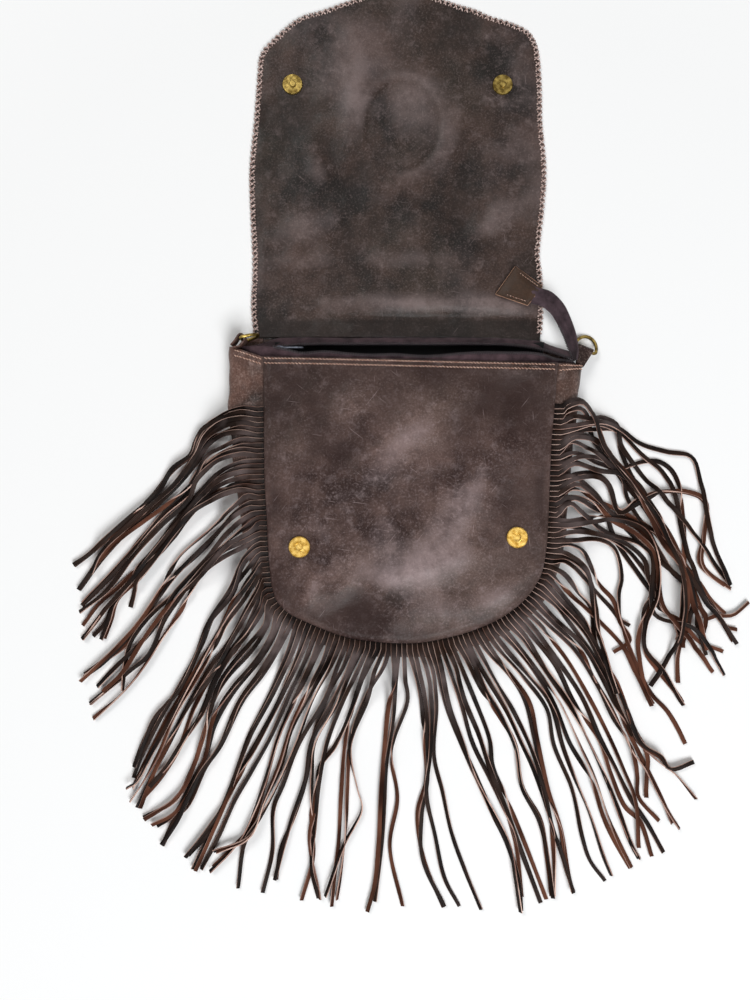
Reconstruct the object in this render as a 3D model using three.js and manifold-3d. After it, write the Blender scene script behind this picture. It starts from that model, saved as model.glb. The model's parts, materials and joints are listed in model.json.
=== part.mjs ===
// A fringed leather crossbody bag, lying on its back with its flap laid open.
// Millimetres. The origin is the middle of the back panel's underside: +X to the right,
// +Y towards the flap's tip, +Z out of the front panel.

import * as THREE from 'three';
import { mergeVertices } from 'three/addons/utils/BufferGeometryUtils.js';
import Module from 'manifold-3d';

const wasm = await Module();
wasm.setup();

// Leather, cloth and the room between pieces
const leather = 1.45;
const clearance = 0.3;
const tapeThickness = 0.6;
const liningThickness = 0.6;
const liningTopY = 104;

// Body of the bag
const bagDepth = 32;
const bottomY = -121;
const waistY = -40;
const waistHalf = 119;
const frontTopY = 119;
const frontTopHalf = 125;
const backTopY = 143;
const backTopHalf = 125;
const backTopLean = -6;
const cornerInset = 2;
const cornerPull = new THREE.Vector2(waistHalf - cornerInset, -92);
const bottomPull = 10 / 17 * waistHalf;
const outlineSteps = 40;

// Front panel: crowned, with its edge turned under
const rimDrop = 4.8;
const hemShare = 0.09;
const crownShare = 0.885;

// Gusset: one strip, folded outward along its middle
const seamFlange = 8;
const gussetReachTop = 27.5;
const gussetReachBottom = 14;
const gussetRightSag = 11;
const gussetTrim = 0.003;

// Fringe: one strip of thinner leather, cut into thongs
const fringeLeather = 1.2;
const fringePitch = 4.4;
const thongWidth = 4;
const thongLength = 240;
const sideThongTrim = 14;
const thongFlare = 28;
const fringeStart = 42;
const fanSpreadLeft = 47;
const fanSpreadRight = 42;
const fanReach = 110;
const foldRoom = 4;
const clumpLength = 48;
const clumpDepth = 6;
const layerLift = 1.9;
const headerLap = 0.5;
const thongLap = 2;
const shoulderDrop = 2.2;
const foldClear = 3.5;
const slopeRun = 9;
const settleRun = 22;
const groundGap = 0.05;

// Flap
const flapHalf = 126;
const flapBulge = 3;
const flapCornerY = 380;
const flapShoulder = new THREE.Vector2(100, 418);
const flapTipY = 449;
const flapCentreX = -9.5;
const seamGap = 0.4;

// Flap hinge: the line that the flap turns about when it is closed
const hingeX = -5.65;
const hingeY = 164;
const hingeTilt = 1.2;

// Magnetic snaps
const snapRadius = 9;
const socketHeight = 2.6;
const socketShell = 0.5;
const socketHole = 3.05;
const studPlate = 1.5;
const nubRadius = 2.75;
const nubHeight = 1.8;
const washerRadius = 7.5;
const washerThickness = 0.6;
const socketInsetLeft = 25.2;
const socketInsetRight = 29;
const socketRaise = 0.3;
const socketTilt = 8;
const socketLeft = new THREE.Vector2(socketInsetLeft - waistHalf, waistY + socketRaise);
const socketRight = new THREE.Vector2(waistHalf - socketInsetRight, waistY + socketRaise + socketTilt);

// Zip
const coilRadius = 1.2;
const tailWidth = 15;
const tailThickness = 1.6;
const sliderLength = 12;
const sliderWidth = 8.6;
const sliderHeight = 4.6;
const sliderInset = 13;
const chainRise = 8.5;
const sliderCentre = new THREE.Vector3(sliderInset - frontTopHalf, frontTopY + chainRise, 18);
const pullLength = 21;
const pullWidth = 6;
const pullThickness = 1.2;
const pinRadius = 0.7;
const bailWidth = 1.2;

// Strap rings and the leather loops that hold them
const wireRadius = 1.5;
const ringHalf = 9.75;
const ringDepth = 14.5;
const ringCorner = 2;
const loopWidth = 14;
const foldHalf = (frontTopHalf + backTopHalf) / 2 + gussetReachTop;
const loopEndLeft = new THREE.Vector3(0.1 - foldHalf, backTopY - 9.8, 17.5);
const loopEndRight = new THREE.Vector3(foldHalf - 3, backTopY - 20.5, 12.1);
const ringBarLeft = loopEndLeft.clone().add(new THREE.Vector3(7.8, 5.2, 0));
const ringBarRight = loopEndRight.clone().add(new THREE.Vector3(3.4, 8.1, -4.3));

// Heights that follow from the stack of layers
const gussetBackZ = leather + clearance + leather / 2;
const rimZ = bagDepth - rimDrop;
const headerZ = rimZ - clearance - fringeLeather / 2;
const gussetFrontZ = headerZ - fringeLeather / 2 - 2 * clearance - leather / 2;
const foldZ = (gussetBackZ + gussetFrontZ) / 2;
const frontInnerZ = bagDepth - leather;
const flapLiningZ = leather + clearance;
const flapTopZ = flapLiningZ + leather;
const studBaseZ = flapTopZ + clearance;
const socketBaseZ = bagDepth + clearance;

const bag = new THREE.Group();

// Materials: one for each kind of surface
function finish(color, roughness, metalness = 0) {
  return () => new THREE.MeshStandardMaterial({ color, roughness, metalness });
}
const oiledLeather = finish(0x3b322e, 0.42);
const gussetLeather = finish(0x5a463a, 0.45);
const suede = finish(0x35271f, 0.75);
const liningCloth = finish(0x141416, 0.9);
const zipCloth = finish(0x46373a, 0.85);
const coilNylon = finish(0x151517, 0.5);
const bright = finish(0xc8a038, 0.28, 1);
const antique = finish(0x84703a, 0.4, 1);
const steel = finish(0x9a9a98, 0.4, 1);

function place(name, geometry, material) {
  const mesh = new THREE.Mesh(geometry, material());
  mesh.name = name;
  bag.add(mesh);
  return mesh;
}

// Closed bodies and their joins and cuts
function toSolid(geometry) {
  const plain = geometry.clone();
  plain.deleteAttribute('normal');
  plain.deleteAttribute('uv');
  const merged = mergeVertices(plain, 1e-4);
  const vertProperties = new Float32Array(merged.attributes.position.array);
  const triVerts = new Uint32Array(merged.index.array);
  return new wasm.Manifold(new wasm.Mesh({ numProp: 3, vertProperties, triVerts }));
}

function fromSolid(solid) {
  const mesh = solid.getMesh();
  const geometry = new THREE.BufferGeometry();
  geometry.setAttribute('position', new THREE.BufferAttribute(mesh.vertProperties, 3));
  geometry.setIndex(new THREE.BufferAttribute(mesh.triVerts, 1));
  return geometry;
}

function cut(geometry, ...tools) {
  return fromSolid(tools.reduce((solid, tool) => solid.subtract(toSolid(tool)), toSolid(geometry)));
}

function join(...geometries) {
  return fromSolid(geometries.map(toSolid).reduce((sum, solid) => sum.add(solid)));
}

function signedVolume(points, faces) {
  let sum = 0;
  for (let i = 0; i < faces.length; i += 3) {
    const [a, b, c] = [points[faces[i]], points[faces[i + 1]], points[faces[i + 2]]];
    sum += a.dot(b.clone().cross(c)) / 6;
  }
  return sum;
}

function closedBody(points, faces) {
  if (signedVolume(points, faces) < 0) {
    faces.reverse();
  }
  const geometry = new THREE.BufferGeometry().setFromPoints(points);
  geometry.setIndex(faces);
  return geometry;
}

// A sheet with a thickness, from the grid of its middle surface
function sheet(grid, thickness) {
  const rows = grid.length;
  const columns = grid[0].length;
  const points = [];
  for (const side of [1, -1]) {
    for (let r = 0; r < rows; r += 1) {
      for (let c = 0; c < columns; c += 1) {
        const along = grid[Math.min(r + 1, rows - 1)][c].clone().sub(grid[Math.max(r - 1, 0)][c]);
        const across = grid[r][Math.min(c + 1, columns - 1)].clone().sub(grid[r][Math.max(c - 1, 0)]);
        const normal = along.cross(across).normalize();
        points.push(grid[r][c].clone().addScaledVector(normal, side * thickness / 2));
      }
    }
  }
  const at = (side, r, c) => side * rows * columns + r * columns + c;
  const faces = [];
  const quad = (a, b, c, d) => faces.push(a, b, c, a, c, d);
  for (let r = 0; r < rows - 1; r += 1) {
    for (let c = 0; c < columns - 1; c += 1) {
      quad(at(0, r, c), at(0, r + 1, c), at(0, r + 1, c + 1), at(0, r, c + 1));
      quad(at(1, r, c), at(1, r, c + 1), at(1, r + 1, c + 1), at(1, r + 1, c));
    }
    const last = columns - 1;
    quad(at(0, r, 0), at(1, r, 0), at(1, r + 1, 0), at(0, r + 1, 0));
    quad(at(0, r, last), at(0, r + 1, last), at(1, r + 1, last), at(1, r, last));
  }
  for (let c = 0; c < columns - 1; c += 1) {
    const last = rows - 1;
    quad(at(0, 0, c), at(0, 0, c + 1), at(1, 0, c + 1), at(1, 0, c));
    quad(at(0, last, c), at(1, last, c), at(1, last, c + 1), at(0, last, c + 1));
  }
  return closedBody(points, faces);
}

// A closed body turned from an outline: each profile point is a share of the outline and a height
function outlineTurned(outline, profile) {
  const count = outline.length;
  const middle = profile.slice(1, -1);
  const points = middle.flatMap(([share, z]) => outline.map((p) => new THREE.Vector3(p.x * share, p.y * share, z)));
  const first = points.push(new THREE.Vector3(0, 0, profile[0][1])) - 1;
  const last = points.push(new THREE.Vector3(0, 0, profile.at(-1)[1])) - 1;
  const faces = [];
  for (let i = 0; i < count; i += 1) {
    const j = (i + 1) % count;
    faces.push(first, i, j);
    for (let k = 0; k < middle.length - 1; k += 1) {
      const low = k * count;
      const high = low + count;
      faces.push(low + i, high + i, high + j, low + i, high + j, low + j);
    }
    const end = (middle.length - 1) * count;
    faces.push(end + j, end + i, last);
  }
  return closedBody(points, faces);
}

// A closed ring of round wire along a flat loop of points
function wireRing(loop, radius, sides = 8) {
  const count = loop.length;
  const points = [];
  for (let i = 0; i < count; i += 1) {
    const tangent = loop[(i + 1) % count].clone().sub(loop[(i + count - 1) % count]).normalize();
    const outward = new THREE.Vector3(tangent.y, -tangent.x, 0);
    for (let k = 0; k < sides; k += 1) {
      const angle = 2 * Math.PI * k / sides;
      const point = loop[i].clone().addScaledVector(outward, radius * Math.cos(angle));
      point.z += radius * Math.sin(angle);
      points.push(point);
    }
  }
  const faces = [];
  for (let i = 0; i < count; i += 1) {
    for (let k = 0; k < sides; k += 1) {
      const [a, b] = [i * sides, ((i + 1) % count) * sides];
      const next = (k + 1) % sides;
      faces.push(a + k, b + k, b + next, a + k, b + next, a + next);
    }
  }
  return closedBody(points, faces);
}

function extruded(shape, depth, curveSegments = 12) {
  return new THREE.ExtrudeGeometry(shape, { depth, bevelEnabled: false, curveSegments });
}

function box(x, y, z, at) {
  return new THREE.BoxGeometry(x, y, z).translate(at.x, at.y, at.z);
}

// The body's outline, from the top left round the bottom to the top right
function bodyPath(topY, topHalf, lean) {
  const path = new THREE.Path();
  path.moveTo(-topHalf + lean, topY);
  path.lineTo(-waistHalf, waistY);
  path.bezierCurveTo(-cornerPull.x, cornerPull.y, -bottomPull, bottomY, 0, bottomY);
  path.bezierCurveTo(bottomPull, bottomY, cornerPull.x, cornerPull.y, waistHalf, waistY);
  path.lineTo(topHalf + lean, topY);
  return path;
}

function outwardAt(path, u) {
  const tangent = path.getTangentAt(u);
  return new THREE.Vector2(tangent.y, -tangent.x);
}

const frontPath = bodyPath(frontTopY, frontTopHalf, 0);
const backPath = bodyPath(backTopY, backTopHalf, backTopLean);

function smooth(t) {
  const clamped = Math.min(Math.max(t, 0), 1);
  return clamped * clamped * (3 - 2 * clamped);
}

function gussetReach(u) {
  const up = smooth(Math.abs(2 * u - 1) * 1.15 - 0.15);
  return THREE.MathUtils.lerp(gussetReachBottom, gussetReachTop, up);
}

// Back panel: flat on whatever the bag lies on
function makeBackPanel() {
  const shape = new THREE.Shape(backPath.getSpacedPoints(outlineSteps));
  place('back_panel', extruded(shape, leather), oiledLeather);
}

// Front panel: a crown inside, and a rim of double thickness where the edge is turned under
function makeFrontPanel() {
  const outline = frontPath.getSpacedPoints(outlineSteps);
  const hem = 1 - hemShare;
  const profile = [
    [0, bagDepth],
    [crownShare, bagDepth],
    [0.95, bagDepth - 0.17 * rimDrop],
    [0.985, bagDepth - 0.42 * rimDrop],
    [1, bagDepth - 0.7 * rimDrop],
    [0.99, rimZ + 0.06 * rimDrop],
    [0.97, rimZ],
    [hem, rimZ],
    [hem - 0.005, rimZ + 0.25 * rimDrop],
    [crownShare - 0.02, frontInnerZ],
    [0, frontInnerZ],
  ];
  place('front_panel', outlineTurned(outline, profile), oiledLeather);
}

// Gusset: its two edges are sewn under the front panel and onto the back panel
function gussetPoint(u, out, z) {
  const share = (z - gussetBackZ) / (gussetFrontZ - gussetBackZ);
  const low = backPath.getPointAt(u);
  const high = frontPath.getPointAt(u);
  const normal = outwardAt(backPath, u).lerp(outwardAt(frontPath, u), share).normalize();
  const point = low.lerp(high, share).addScaledVector(normal, out);
  const sag = out > 0 ? gussetRightSag * smooth((u - 0.7) / 0.3) * out / gussetReach(u) : 0;
  return new THREE.Vector3(point.x, point.y - sag, z);
}

function makeGusset() {
  const grid = [];
  for (let i = 0; i <= outlineSteps; i += 1) {
    const u = THREE.MathUtils.lerp(gussetTrim, 1 - gussetTrim, i / outlineSteps);
    const reach = gussetReach(u);
    grid.push([
      gussetPoint(u, -seamFlange, gussetBackZ),
      gussetPoint(u, 0, gussetBackZ),
      gussetPoint(u, 0.55 * reach, gussetBackZ + 0.3 * (foldZ - gussetBackZ)),
      gussetPoint(u, reach, foldZ),
      gussetPoint(u, 0.55 * reach, gussetFrontZ - 0.3 * (gussetFrontZ - foldZ)),
      gussetPoint(u, 0, gussetFrontZ),
      gussetPoint(u, -seamFlange, gussetFrontZ),
    ]);
  }
  place('gusset', sheet(grid, leather), gussetLeather);
}

// Lining: a pouch of thin cloth inside the seams, open at the mouth
function makeLining() {
  const inset = 1 - (seamFlange + 1.5) / waistHalf;
  const low = 2 * (leather + clearance);
  const high = rimZ - 2 * clearance - tapeThickness;
  const pouch = (share, from, to, topY) => {
    const points = frontPath.getSpacedPoints(outlineSteps).map((p) => p.clone().multiplyScalar(share));
    points[0].y = topY;
    points[outlineSteps].y = topY;
    return extruded(new THREE.Shape(points), to - from).translate(0, 0, from);
  };
  const share = inset - liningThickness / waistHalf;
  const outer = pouch(inset, low, high, liningTopY);
  const hollow = pouch(share, low + liningThickness, high - liningThickness, liningTopY + seamFlange);
  place('lining', cut(outer, hollow), liningCloth);
}

// Fringe: the uncut header lies in the front seam and the thongs fan out from it
const seamLength = frontPath.getLength();
const fringeHalf = seamLength / 2 - fringeStart;

function fanAngle(along) {
  const gathered = along + clumpDepth * Math.sin(2 * Math.PI * along / clumpLength);
  const spread = along < 0 ? fanSpreadLeft : fanSpreadRight;
  return THREE.MathUtils.degToRad(-90 + spread * Math.tanh(gathered / fanReach));
}

// The height of a thong over the folded gusset, by its distance out from the seam
function thongHeight(out, reach, lift) {
  const fold = reach + foldRoom;
  const rest = fringeLeather / 2 + lift + groundGap;
  const slope = [
    [0, headerZ],
    [0.55 * reach, headerZ - shoulderDrop + lift],
    [fold, foldZ + foldClear + 1.4 * lift],
    [fold + slopeRun, rest + 0.35 * foldZ + 0.4 * lift],
    [fold + settleRun, rest],
  ];
  const next = slope.findIndex(([distance]) => distance > out);
  if (next <= 0) {
    return next === 0 ? headerZ : rest;
  }
  const [[from, high], [to, low]] = [slope[next - 1], slope[next]];
  return THREE.MathUtils.mapLinear(out, from, to, high, low);
}

function thong(along, lift) {
  const u = 0.5 + along / seamLength;
  const root = frontPath.getPointAt(u);
  const outward = outwardAt(frontPath, u);
  const reach = gussetReach(u);
  const fold = reach + foldRoom;
  const length = thongLength - sideThongTrim * smooth(Math.abs(along) / fringeHalf);
  const aim = new THREE.Vector2(Math.cos(fanAngle(along)), Math.sin(fanAngle(along)));
  const middle = root.clone().addScaledVector(outward, thongFlare);
  const tip = middle.clone().addScaledVector(aim, length - thongFlare);
  const plan = new THREE.QuadraticBezierCurve(root, middle, tip);
  const outAt = (share) => plan.getPointAt(share).sub(root).dot(outward);
  const shareAtOut = (out) => {
    let share = 0;
    while (share < 1 && outAt(share) < out) {
      share += 0.005;
    }
    return Math.min(share, 1);
  };
  const shares = [0.55 * reach, fold, fold + slopeRun, fold + settleRun].map(shareAtOut);
  shares.push(THREE.MathUtils.lerp(shares.at(-1), 1, 0.5), 1);
  const station = (at, tangent, z) => {
    const side = new THREE.Vector3(tangent.y, -tangent.x, 0).multiplyScalar(thongWidth / 2);
    const centre = new THREE.Vector3(at.x, at.y, z);
    return [centre.clone().sub(side), centre.clone().add(side)];
  };
  const grid = [station(root.clone().addScaledVector(outward, -thongLap), outward, headerZ)];
  for (const share of shares) {
    const z = thongHeight(outAt(share), reach, lift);
    grid.push(station(plan.getPointAt(share), plan.getTangentAt(share), z));
  }
  return sheet(grid, fringeLeather);
}

function makeFringe() {
  const header = [];
  for (let i = 0; i <= outlineSteps; i += 1) {
    const u = 0.5 + fringeHalf * (2 * i / outlineSteps - 1) / seamLength;
    const root = frontPath.getPointAt(u);
    const outward = outwardAt(frontPath, u);
    header.push([-seamFlange, -headerLap].map((out) => {
      const point = root.clone().addScaledVector(outward, out);
      return new THREE.Vector3(point.x, point.y, headerZ);
    }));
  }
  const count = Math.floor(2 * fringeHalf / fringePitch);
  const bodies = [sheet(header, fringeLeather)];
  for (let i = 0; i < count; i += 1) {
    bodies.push(thong((i - (count - 1) / 2) * fringePitch, (i % 2) * layerLift));
  }
  place('fringe', join(...bodies), suede);
}

// Flap: two layers of leather, laced together round their edge
function flapShape() {
  const left = flapCentreX - flapHalf;
  const right = flapCentreX + flapHalf;
  const base = backTopY + seamGap;
  const bulgeY = (base + flapCornerY) / 2;
  const shoulder = flapShoulder;
  const shape = new THREE.Shape();
  shape.moveTo(left, base);
  shape.lineTo(right, base);
  shape.quadraticCurveTo(right + 2 * flapBulge, bulgeY, right - 1, flapCornerY);
  shape.quadraticCurveTo(right - 1, flapCornerY + 0.62 * (shoulder.y - flapCornerY), flapCentreX + shoulder.x, shoulder.y);
  shape.quadraticCurveTo(flapCentreX + 0.42 * shoulder.x, flapTipY - 1, flapCentreX, flapTipY);
  shape.quadraticCurveTo(flapCentreX - 0.42 * shoulder.x, flapTipY - 1, flapCentreX - shoulder.x, shoulder.y);
  shape.quadraticCurveTo(left + 1, flapCornerY + 0.62 * (shoulder.y - flapCornerY), left + 1, flapCornerY);
  shape.quadraticCurveTo(left - 2 * flapBulge, bulgeY, left, base);
  return shape;
}

function acrossHinge(point) {
  const angle = THREE.MathUtils.degToRad(2 * hingeTilt);
  const x = point.x - hingeX;
  const y = point.y - hingeY;
  return new THREE.Vector2(
    hingeX + x * Math.cos(angle) + y * Math.sin(angle),
    hingeY + x * Math.sin(angle) - y * Math.cos(angle),
  );
}

function disc(radius, height, at, z, segments = 20) {
  const geometry = new THREE.CylinderGeometry(radius, radius, height, segments);
  return geometry.rotateX(Math.PI / 2).translate(at.x, at.y, z + height / 2);
}

function makeFlap(studs) {
  const pocketDepth = washerThickness + clearance;
  const pockets = studs.map((at) => disc(washerRadius + clearance, 2 * pocketDepth, at, leather - pocketDepth));
  place('flap_outer', cut(extruded(flapShape(), leather, 14), ...pockets), oiledLeather);
  place('flap_lining', extruded(flapShape(), leather, 14).translate(0, 0, flapLiningZ), oiledLeather);
}

// Magnetic snaps: the sockets sit on the front panel, the studs inside the flap
function turned(profile, at, z, segments = 20) {
  const points = profile.map(([r, h]) => new THREE.Vector2(r, h));
  return new THREE.LatheGeometry(points, segments).rotateX(Math.PI / 2).translate(at.x, at.y, z);
}

function makeSocket(side, at) {
  const chamfer = 0.8;
  const inner = snapRadius - socketShell;
  const roof = socketHeight - socketShell;
  const cap = [
    [inner, 0],
    [snapRadius, 0],
    [snapRadius, socketHeight - chamfer],
    [snapRadius - chamfer, socketHeight],
    [socketHole + socketShell, socketHeight],
    [socketHole, socketHeight - socketShell / 2],
    [socketHole, roof],
    [snapRadius - chamfer - socketShell / 2, roof],
    [inner, roof - chamfer + socketShell / 2],
    [inner, 0],
  ];
  const magnetTop = roof - chamfer - clearance;
  const magnet = [
    [0, 0],
    [inner - clearance, 0],
    [inner - clearance, magnetTop],
    [socketHole + clearance, magnetTop],
    [socketHole + clearance, 0.4],
    [0, 0.4],
  ];
  const washerZ = frontInnerZ - clearance - washerThickness;
  place(`snap_socket_${side}`, turned(cap, at, socketBaseZ), bright);
  place(`snap_magnet_${side}`, turned(magnet, at, socketBaseZ), bright);
  place(`socket_washer_${side}`, disc(washerRadius, washerThickness, at, washerZ), steel);
}

function makeStud(side, at) {
  const round = 0.5;
  const profile = [
    [0, 0],
    [snapRadius - round / 2, 0],
    [snapRadius, round],
    [snapRadius - round, studPlate],
    [nubRadius, studPlate],
    [nubRadius, studPlate + nubHeight - round],
    [nubRadius - round, studPlate + nubHeight],
    [0, studPlate + nubHeight],
  ];
  place(`snap_stud_${side}`, turned(profile, at, studBaseZ), antique);
  const washerZ = leather - washerThickness;
  place(`stud_washer_${side}`, disc(washerRadius, washerThickness, at, washerZ), steel);
}

// Zip tapes: each station is the sewn edge and the coil edge
const chainZ = sliderCentre.z;
const chainY = sliderCentre.y;
const coilSeat = sliderWidth / 2 + coilRadius + 2 * clearance;
const leftEnd = -frontTopHalf;
const rightEnd = frontTopHalf;
const frontSewnY = frontTopY - 9;
const rearSewnY = backTopY - 1;
const rearCoilY = rearSewnY - 6.8;
const frontTapeRoute = [
  [[leftEnd - 14, frontSewnY + 8, chainZ - 1.5], [leftEnd - 14, chainY, chainZ + coilRadius + 0.2]],
  [[leftEnd - 6, frontSewnY + 4, chainZ + 1], [leftEnd - 5, chainY, chainZ + coilRadius + 0.2]],
  [[leftEnd + 6, frontSewnY + 2, 21.8], [leftEnd + 6, chainY, chainZ + coilSeat]],
  [[leftEnd + 21, frontSewnY + 1, 25], [leftEnd + 21, chainY, chainZ + coilSeat + 0.8]],
  [[leftEnd + 45, frontSewnY, 26.1], [leftEnd + 45, chainY, 26.3]],
  [[0, frontSewnY, 26.1], [0, chainY, 26.5]],
  [[rightEnd - 29, frontSewnY - 1.5, 26.1], [rightEnd - 29, chainY - 2, 26.2]],
  [[rightEnd - 9, frontSewnY - 4, 22.6], [rightEnd - 8, chainY - 6, 22.8]],
  [[rightEnd + 13, frontSewnY - 2, 14.6], [rightEnd + 16, chainY - 9.3, 16.6]],
];
const rearTapeRoute = [
  [[leftEnd - 14, rearSewnY - 12, 8.5], [leftEnd - 14, chainY, chainZ - coilRadius - 0.2]],
  [[leftEnd - 6, rearSewnY - 8, 7.5], [leftEnd - 5, chainY, chainZ - coilRadius - 0.2]],
  [[leftEnd + 6, rearSewnY - 4, 6], [leftEnd + 6, chainY, chainZ - coilSeat]],
  [[leftEnd + 21, rearSewnY - 1, 4.6], [leftEnd + 21, chainY + 2, chainZ - coilSeat - 0.2]],
  [[leftEnd + 45, rearSewnY, 4.3], [leftEnd + 45, rearCoilY, 12]],
  [[0, rearSewnY, 4.3], [0, rearCoilY, 12]],
  [[rightEnd - 35, rearSewnY, 4.3], [rightEnd - 35, rearCoilY, 12]],
  [[rightEnd - 14, rearSewnY - 2.5, 4.6], [rightEnd - 12, rearCoilY - 4.7, 11.6]],
  [[rightEnd, rearSewnY - 5.5, 4.8], [rightEnd + 2, rearCoilY - 8.7, 11.9]],
];

function makeTape(name, coilName, route) {
  const steps = 2 * route.length;
  const [sewn, edge] = [0, 1].map((side) => new THREE.CatmullRomCurve3(
    route.map((station) => new THREE.Vector3(...station[side])),
    false,
    'centripetal',
  ));
  const inset = coilRadius + 1.5 * clearance + tapeThickness / 2;
  const grid = [];
  for (let i = 0; i <= steps; i += 1) {
    const outer = sewn.getPoint(i / steps);
    const inner = edge.getPoint(i / steps);
    const inward = outer.clone().sub(inner).normalize();
    grid.push([outer, inner.addScaledVector(inward, inset)]);
  }
  place(name, sheet(grid, tapeThickness), zipCloth);
  const section = new THREE.Shape().absarc(0, 0, coilRadius, 0, 2 * Math.PI);
  const options = { steps: 24, bevelEnabled: false, extrudePath: edge, curveSegments: 3 };
  place(coilName, new THREE.ExtrudeGeometry(section, options), coilNylon);
}

// Zip tail: both tapes lie on each other and twist from standing to flat
const tailRoute = [
  [[rightEnd + 17.6, chainY - 5.7, 17], 6],
  [[rightEnd + 14.6, chainY + 4.8, 21], 27],
  [[rightEnd + 8.5, chainY + 22.3, 21], 43],
  [[rightEnd + 0.9, chainY + 37.9, 17.5], 56],
  [[rightEnd - 7, chainY + 46.1, 14.6], 74],
];

const tabNear = new THREE.Vector3(rightEnd - 16.4, chainY + 48.9, 12.1);
const tabFar = new THREE.Vector3(rightEnd - 41.4, chainY + 63.7, 6.6);
const tabNearHalf = 10.3;
const tabFarHalf = 14.4;
const tabThickness = 2 * leather + tailThickness + 2 * clearance;

function makeTail() {
  const inward = tabFar.clone().sub(tabNear).normalize();
  const flat = new THREE.Vector3(inward.y, -inward.x, 0).normalize();
  const grid = tailRoute.map(([at, turn], i) => {
    const before = new THREE.Vector3(...tailRoute[Math.max(i - 1, 0)][0]);
    const after = new THREE.Vector3(...tailRoute[Math.min(i + 1, tailRoute.length - 1)][0]);
    const along = after.sub(before).setZ(0).normalize();
    const level = new THREE.Vector3(along.y, -along.x, 0);
    const angle = THREE.MathUtils.degToRad(turn);
    const half = (i === 0 ? 0.6 : 1) * tailWidth / 2;
    const side = level.multiplyScalar(Math.sin(angle)).setZ(Math.cos(angle)).multiplyScalar(half);
    const centre = new THREE.Vector3(...at);
    return [centre.clone().sub(side), centre.clone().add(side)];
  });
  for (const reach of [-3, 1, 20]) {
    const centre = tabNear.clone().addScaledVector(inward, reach);
    const side = flat.clone().multiplyScalar(tailWidth / 2);
    grid.push([centre.clone().sub(side), centre.clone().add(side)]);
  }
  place('zip_tail', sheet(grid, tailThickness), zipCloth);
}

// Zip end tab: a flared piece of leather folded over the tapes' ends
function makeEndTab() {
  const along = tabFar.clone().sub(tabNear);
  const length = along.length();
  const shape = new THREE.Shape([
    new THREE.Vector2(0, -tabNearHalf),
    new THREE.Vector2(length, -tabFarHalf),
    new THREE.Vector2(length, tabFarHalf),
    new THREE.Vector2(0, tabNearHalf),
  ]);
  const slot = box(2 * (length - 5), tailWidth + 4 * clearance, tailThickness + 2 * clearance,
    new THREE.Vector3(0, 0, tabThickness / 2));
  const geometry = cut(extruded(shape, tabThickness), slot).translate(0, 0, -tabThickness / 2);
  const tab = place('zip_end_tab', geometry, oiledLeather);
  const x = along.normalize();
  const y = new THREE.Vector3(-x.y, x.x, 0).normalize();
  const z = x.clone().cross(y);
  tab.applyMatrix4(new THREE.Matrix4().makeBasis(x, y, z).setPosition(tabNear));
}

// Zip slider: two plates round the coils, joined by a post, with a bail for the pull
function makeSlider() {
  const wall = 0.8;
  const channel = sliderHeight - 2 * wall;
  const origin = new THREE.Vector3();
  const block = box(sliderLength, sliderHeight, sliderWidth, origin);
  const passage = box(2 * sliderLength, channel, sliderWidth - 2 * wall, origin);
  const slits = box(2 * sliderLength, 2 * tapeThickness + clearance, 2 * sliderWidth, origin);
  const post = new THREE.CylinderGeometry(1.2, 1.2, channel + wall, 12).translate(0.3 * sliderLength, 0, 0);
  const bailLength = 8;
  const bailHeight = 2 * pinRadius + 2 * clearance + 0.9;
  const bail = new THREE.Shape();
  bail.moveTo(-bailLength / 2, -wall / 2);
  bail.lineTo(-bailLength / 2, 0.6 * bailHeight);
  bail.quadraticCurveTo(0, 1.4 * bailHeight, bailLength / 2, 0.6 * bailHeight);
  bail.lineTo(bailLength / 2, -wall / 2);
  bail.closePath();
  const window = new THREE.Path();
  window.moveTo(-bailLength / 2 + 1, 0);
  window.lineTo(bailLength / 2 - 1, 0);
  window.lineTo(bailLength / 2 - 1, 0.45 * bailHeight);
  window.quadraticCurveTo(0, bailHeight, -bailLength / 2 + 1, 0.45 * bailHeight);
  window.closePath();
  bail.holes.push(window);
  const arch = extruded(bail, bailWidth, 6).translate(0, sliderHeight / 2, -bailWidth / 2);
  const slider = join(cut(block, passage, slits), post, arch);
  place('zip_slider', slider, steel).position.copy(sliderCentre);
}

// Zip pull: a plate with a window, whose end bar runs under the bail
function makePull() {
  const armGap = bailWidth + 2;
  const arm = (pullWidth - armGap) / 2;
  const plate = new THREE.Shape();
  plate.moveTo(0, -pullWidth / 2);
  plate.lineTo(pullLength - 2, -pullWidth / 2);
  plate.quadraticCurveTo(pullLength, -pullWidth / 2, pullLength, 0);
  plate.quadraticCurveTo(pullLength, pullWidth / 2, pullLength - 2, pullWidth / 2);
  plate.lineTo(0, pullWidth / 2);
  plate.closePath();
  const body = extruded(plate, pullThickness, 5).translate(0, 0, -pullThickness / 2);
  const opening = box(2 * 6.5, armGap, 2 * pullThickness, new THREE.Vector3());
  const pin = new THREE.CylinderGeometry(pinRadius, pinRadius, armGap + arm, 10);
  const geometry = join(cut(body, opening), pin).rotateX(Math.PI / 2);
  const seat = sliderHeight / 2 + clearance + pinRadius;
  place('zip_pull', geometry, steel).position.copy(sliderCentre).add(new THREE.Vector3(0, seat, 0));
}

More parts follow.
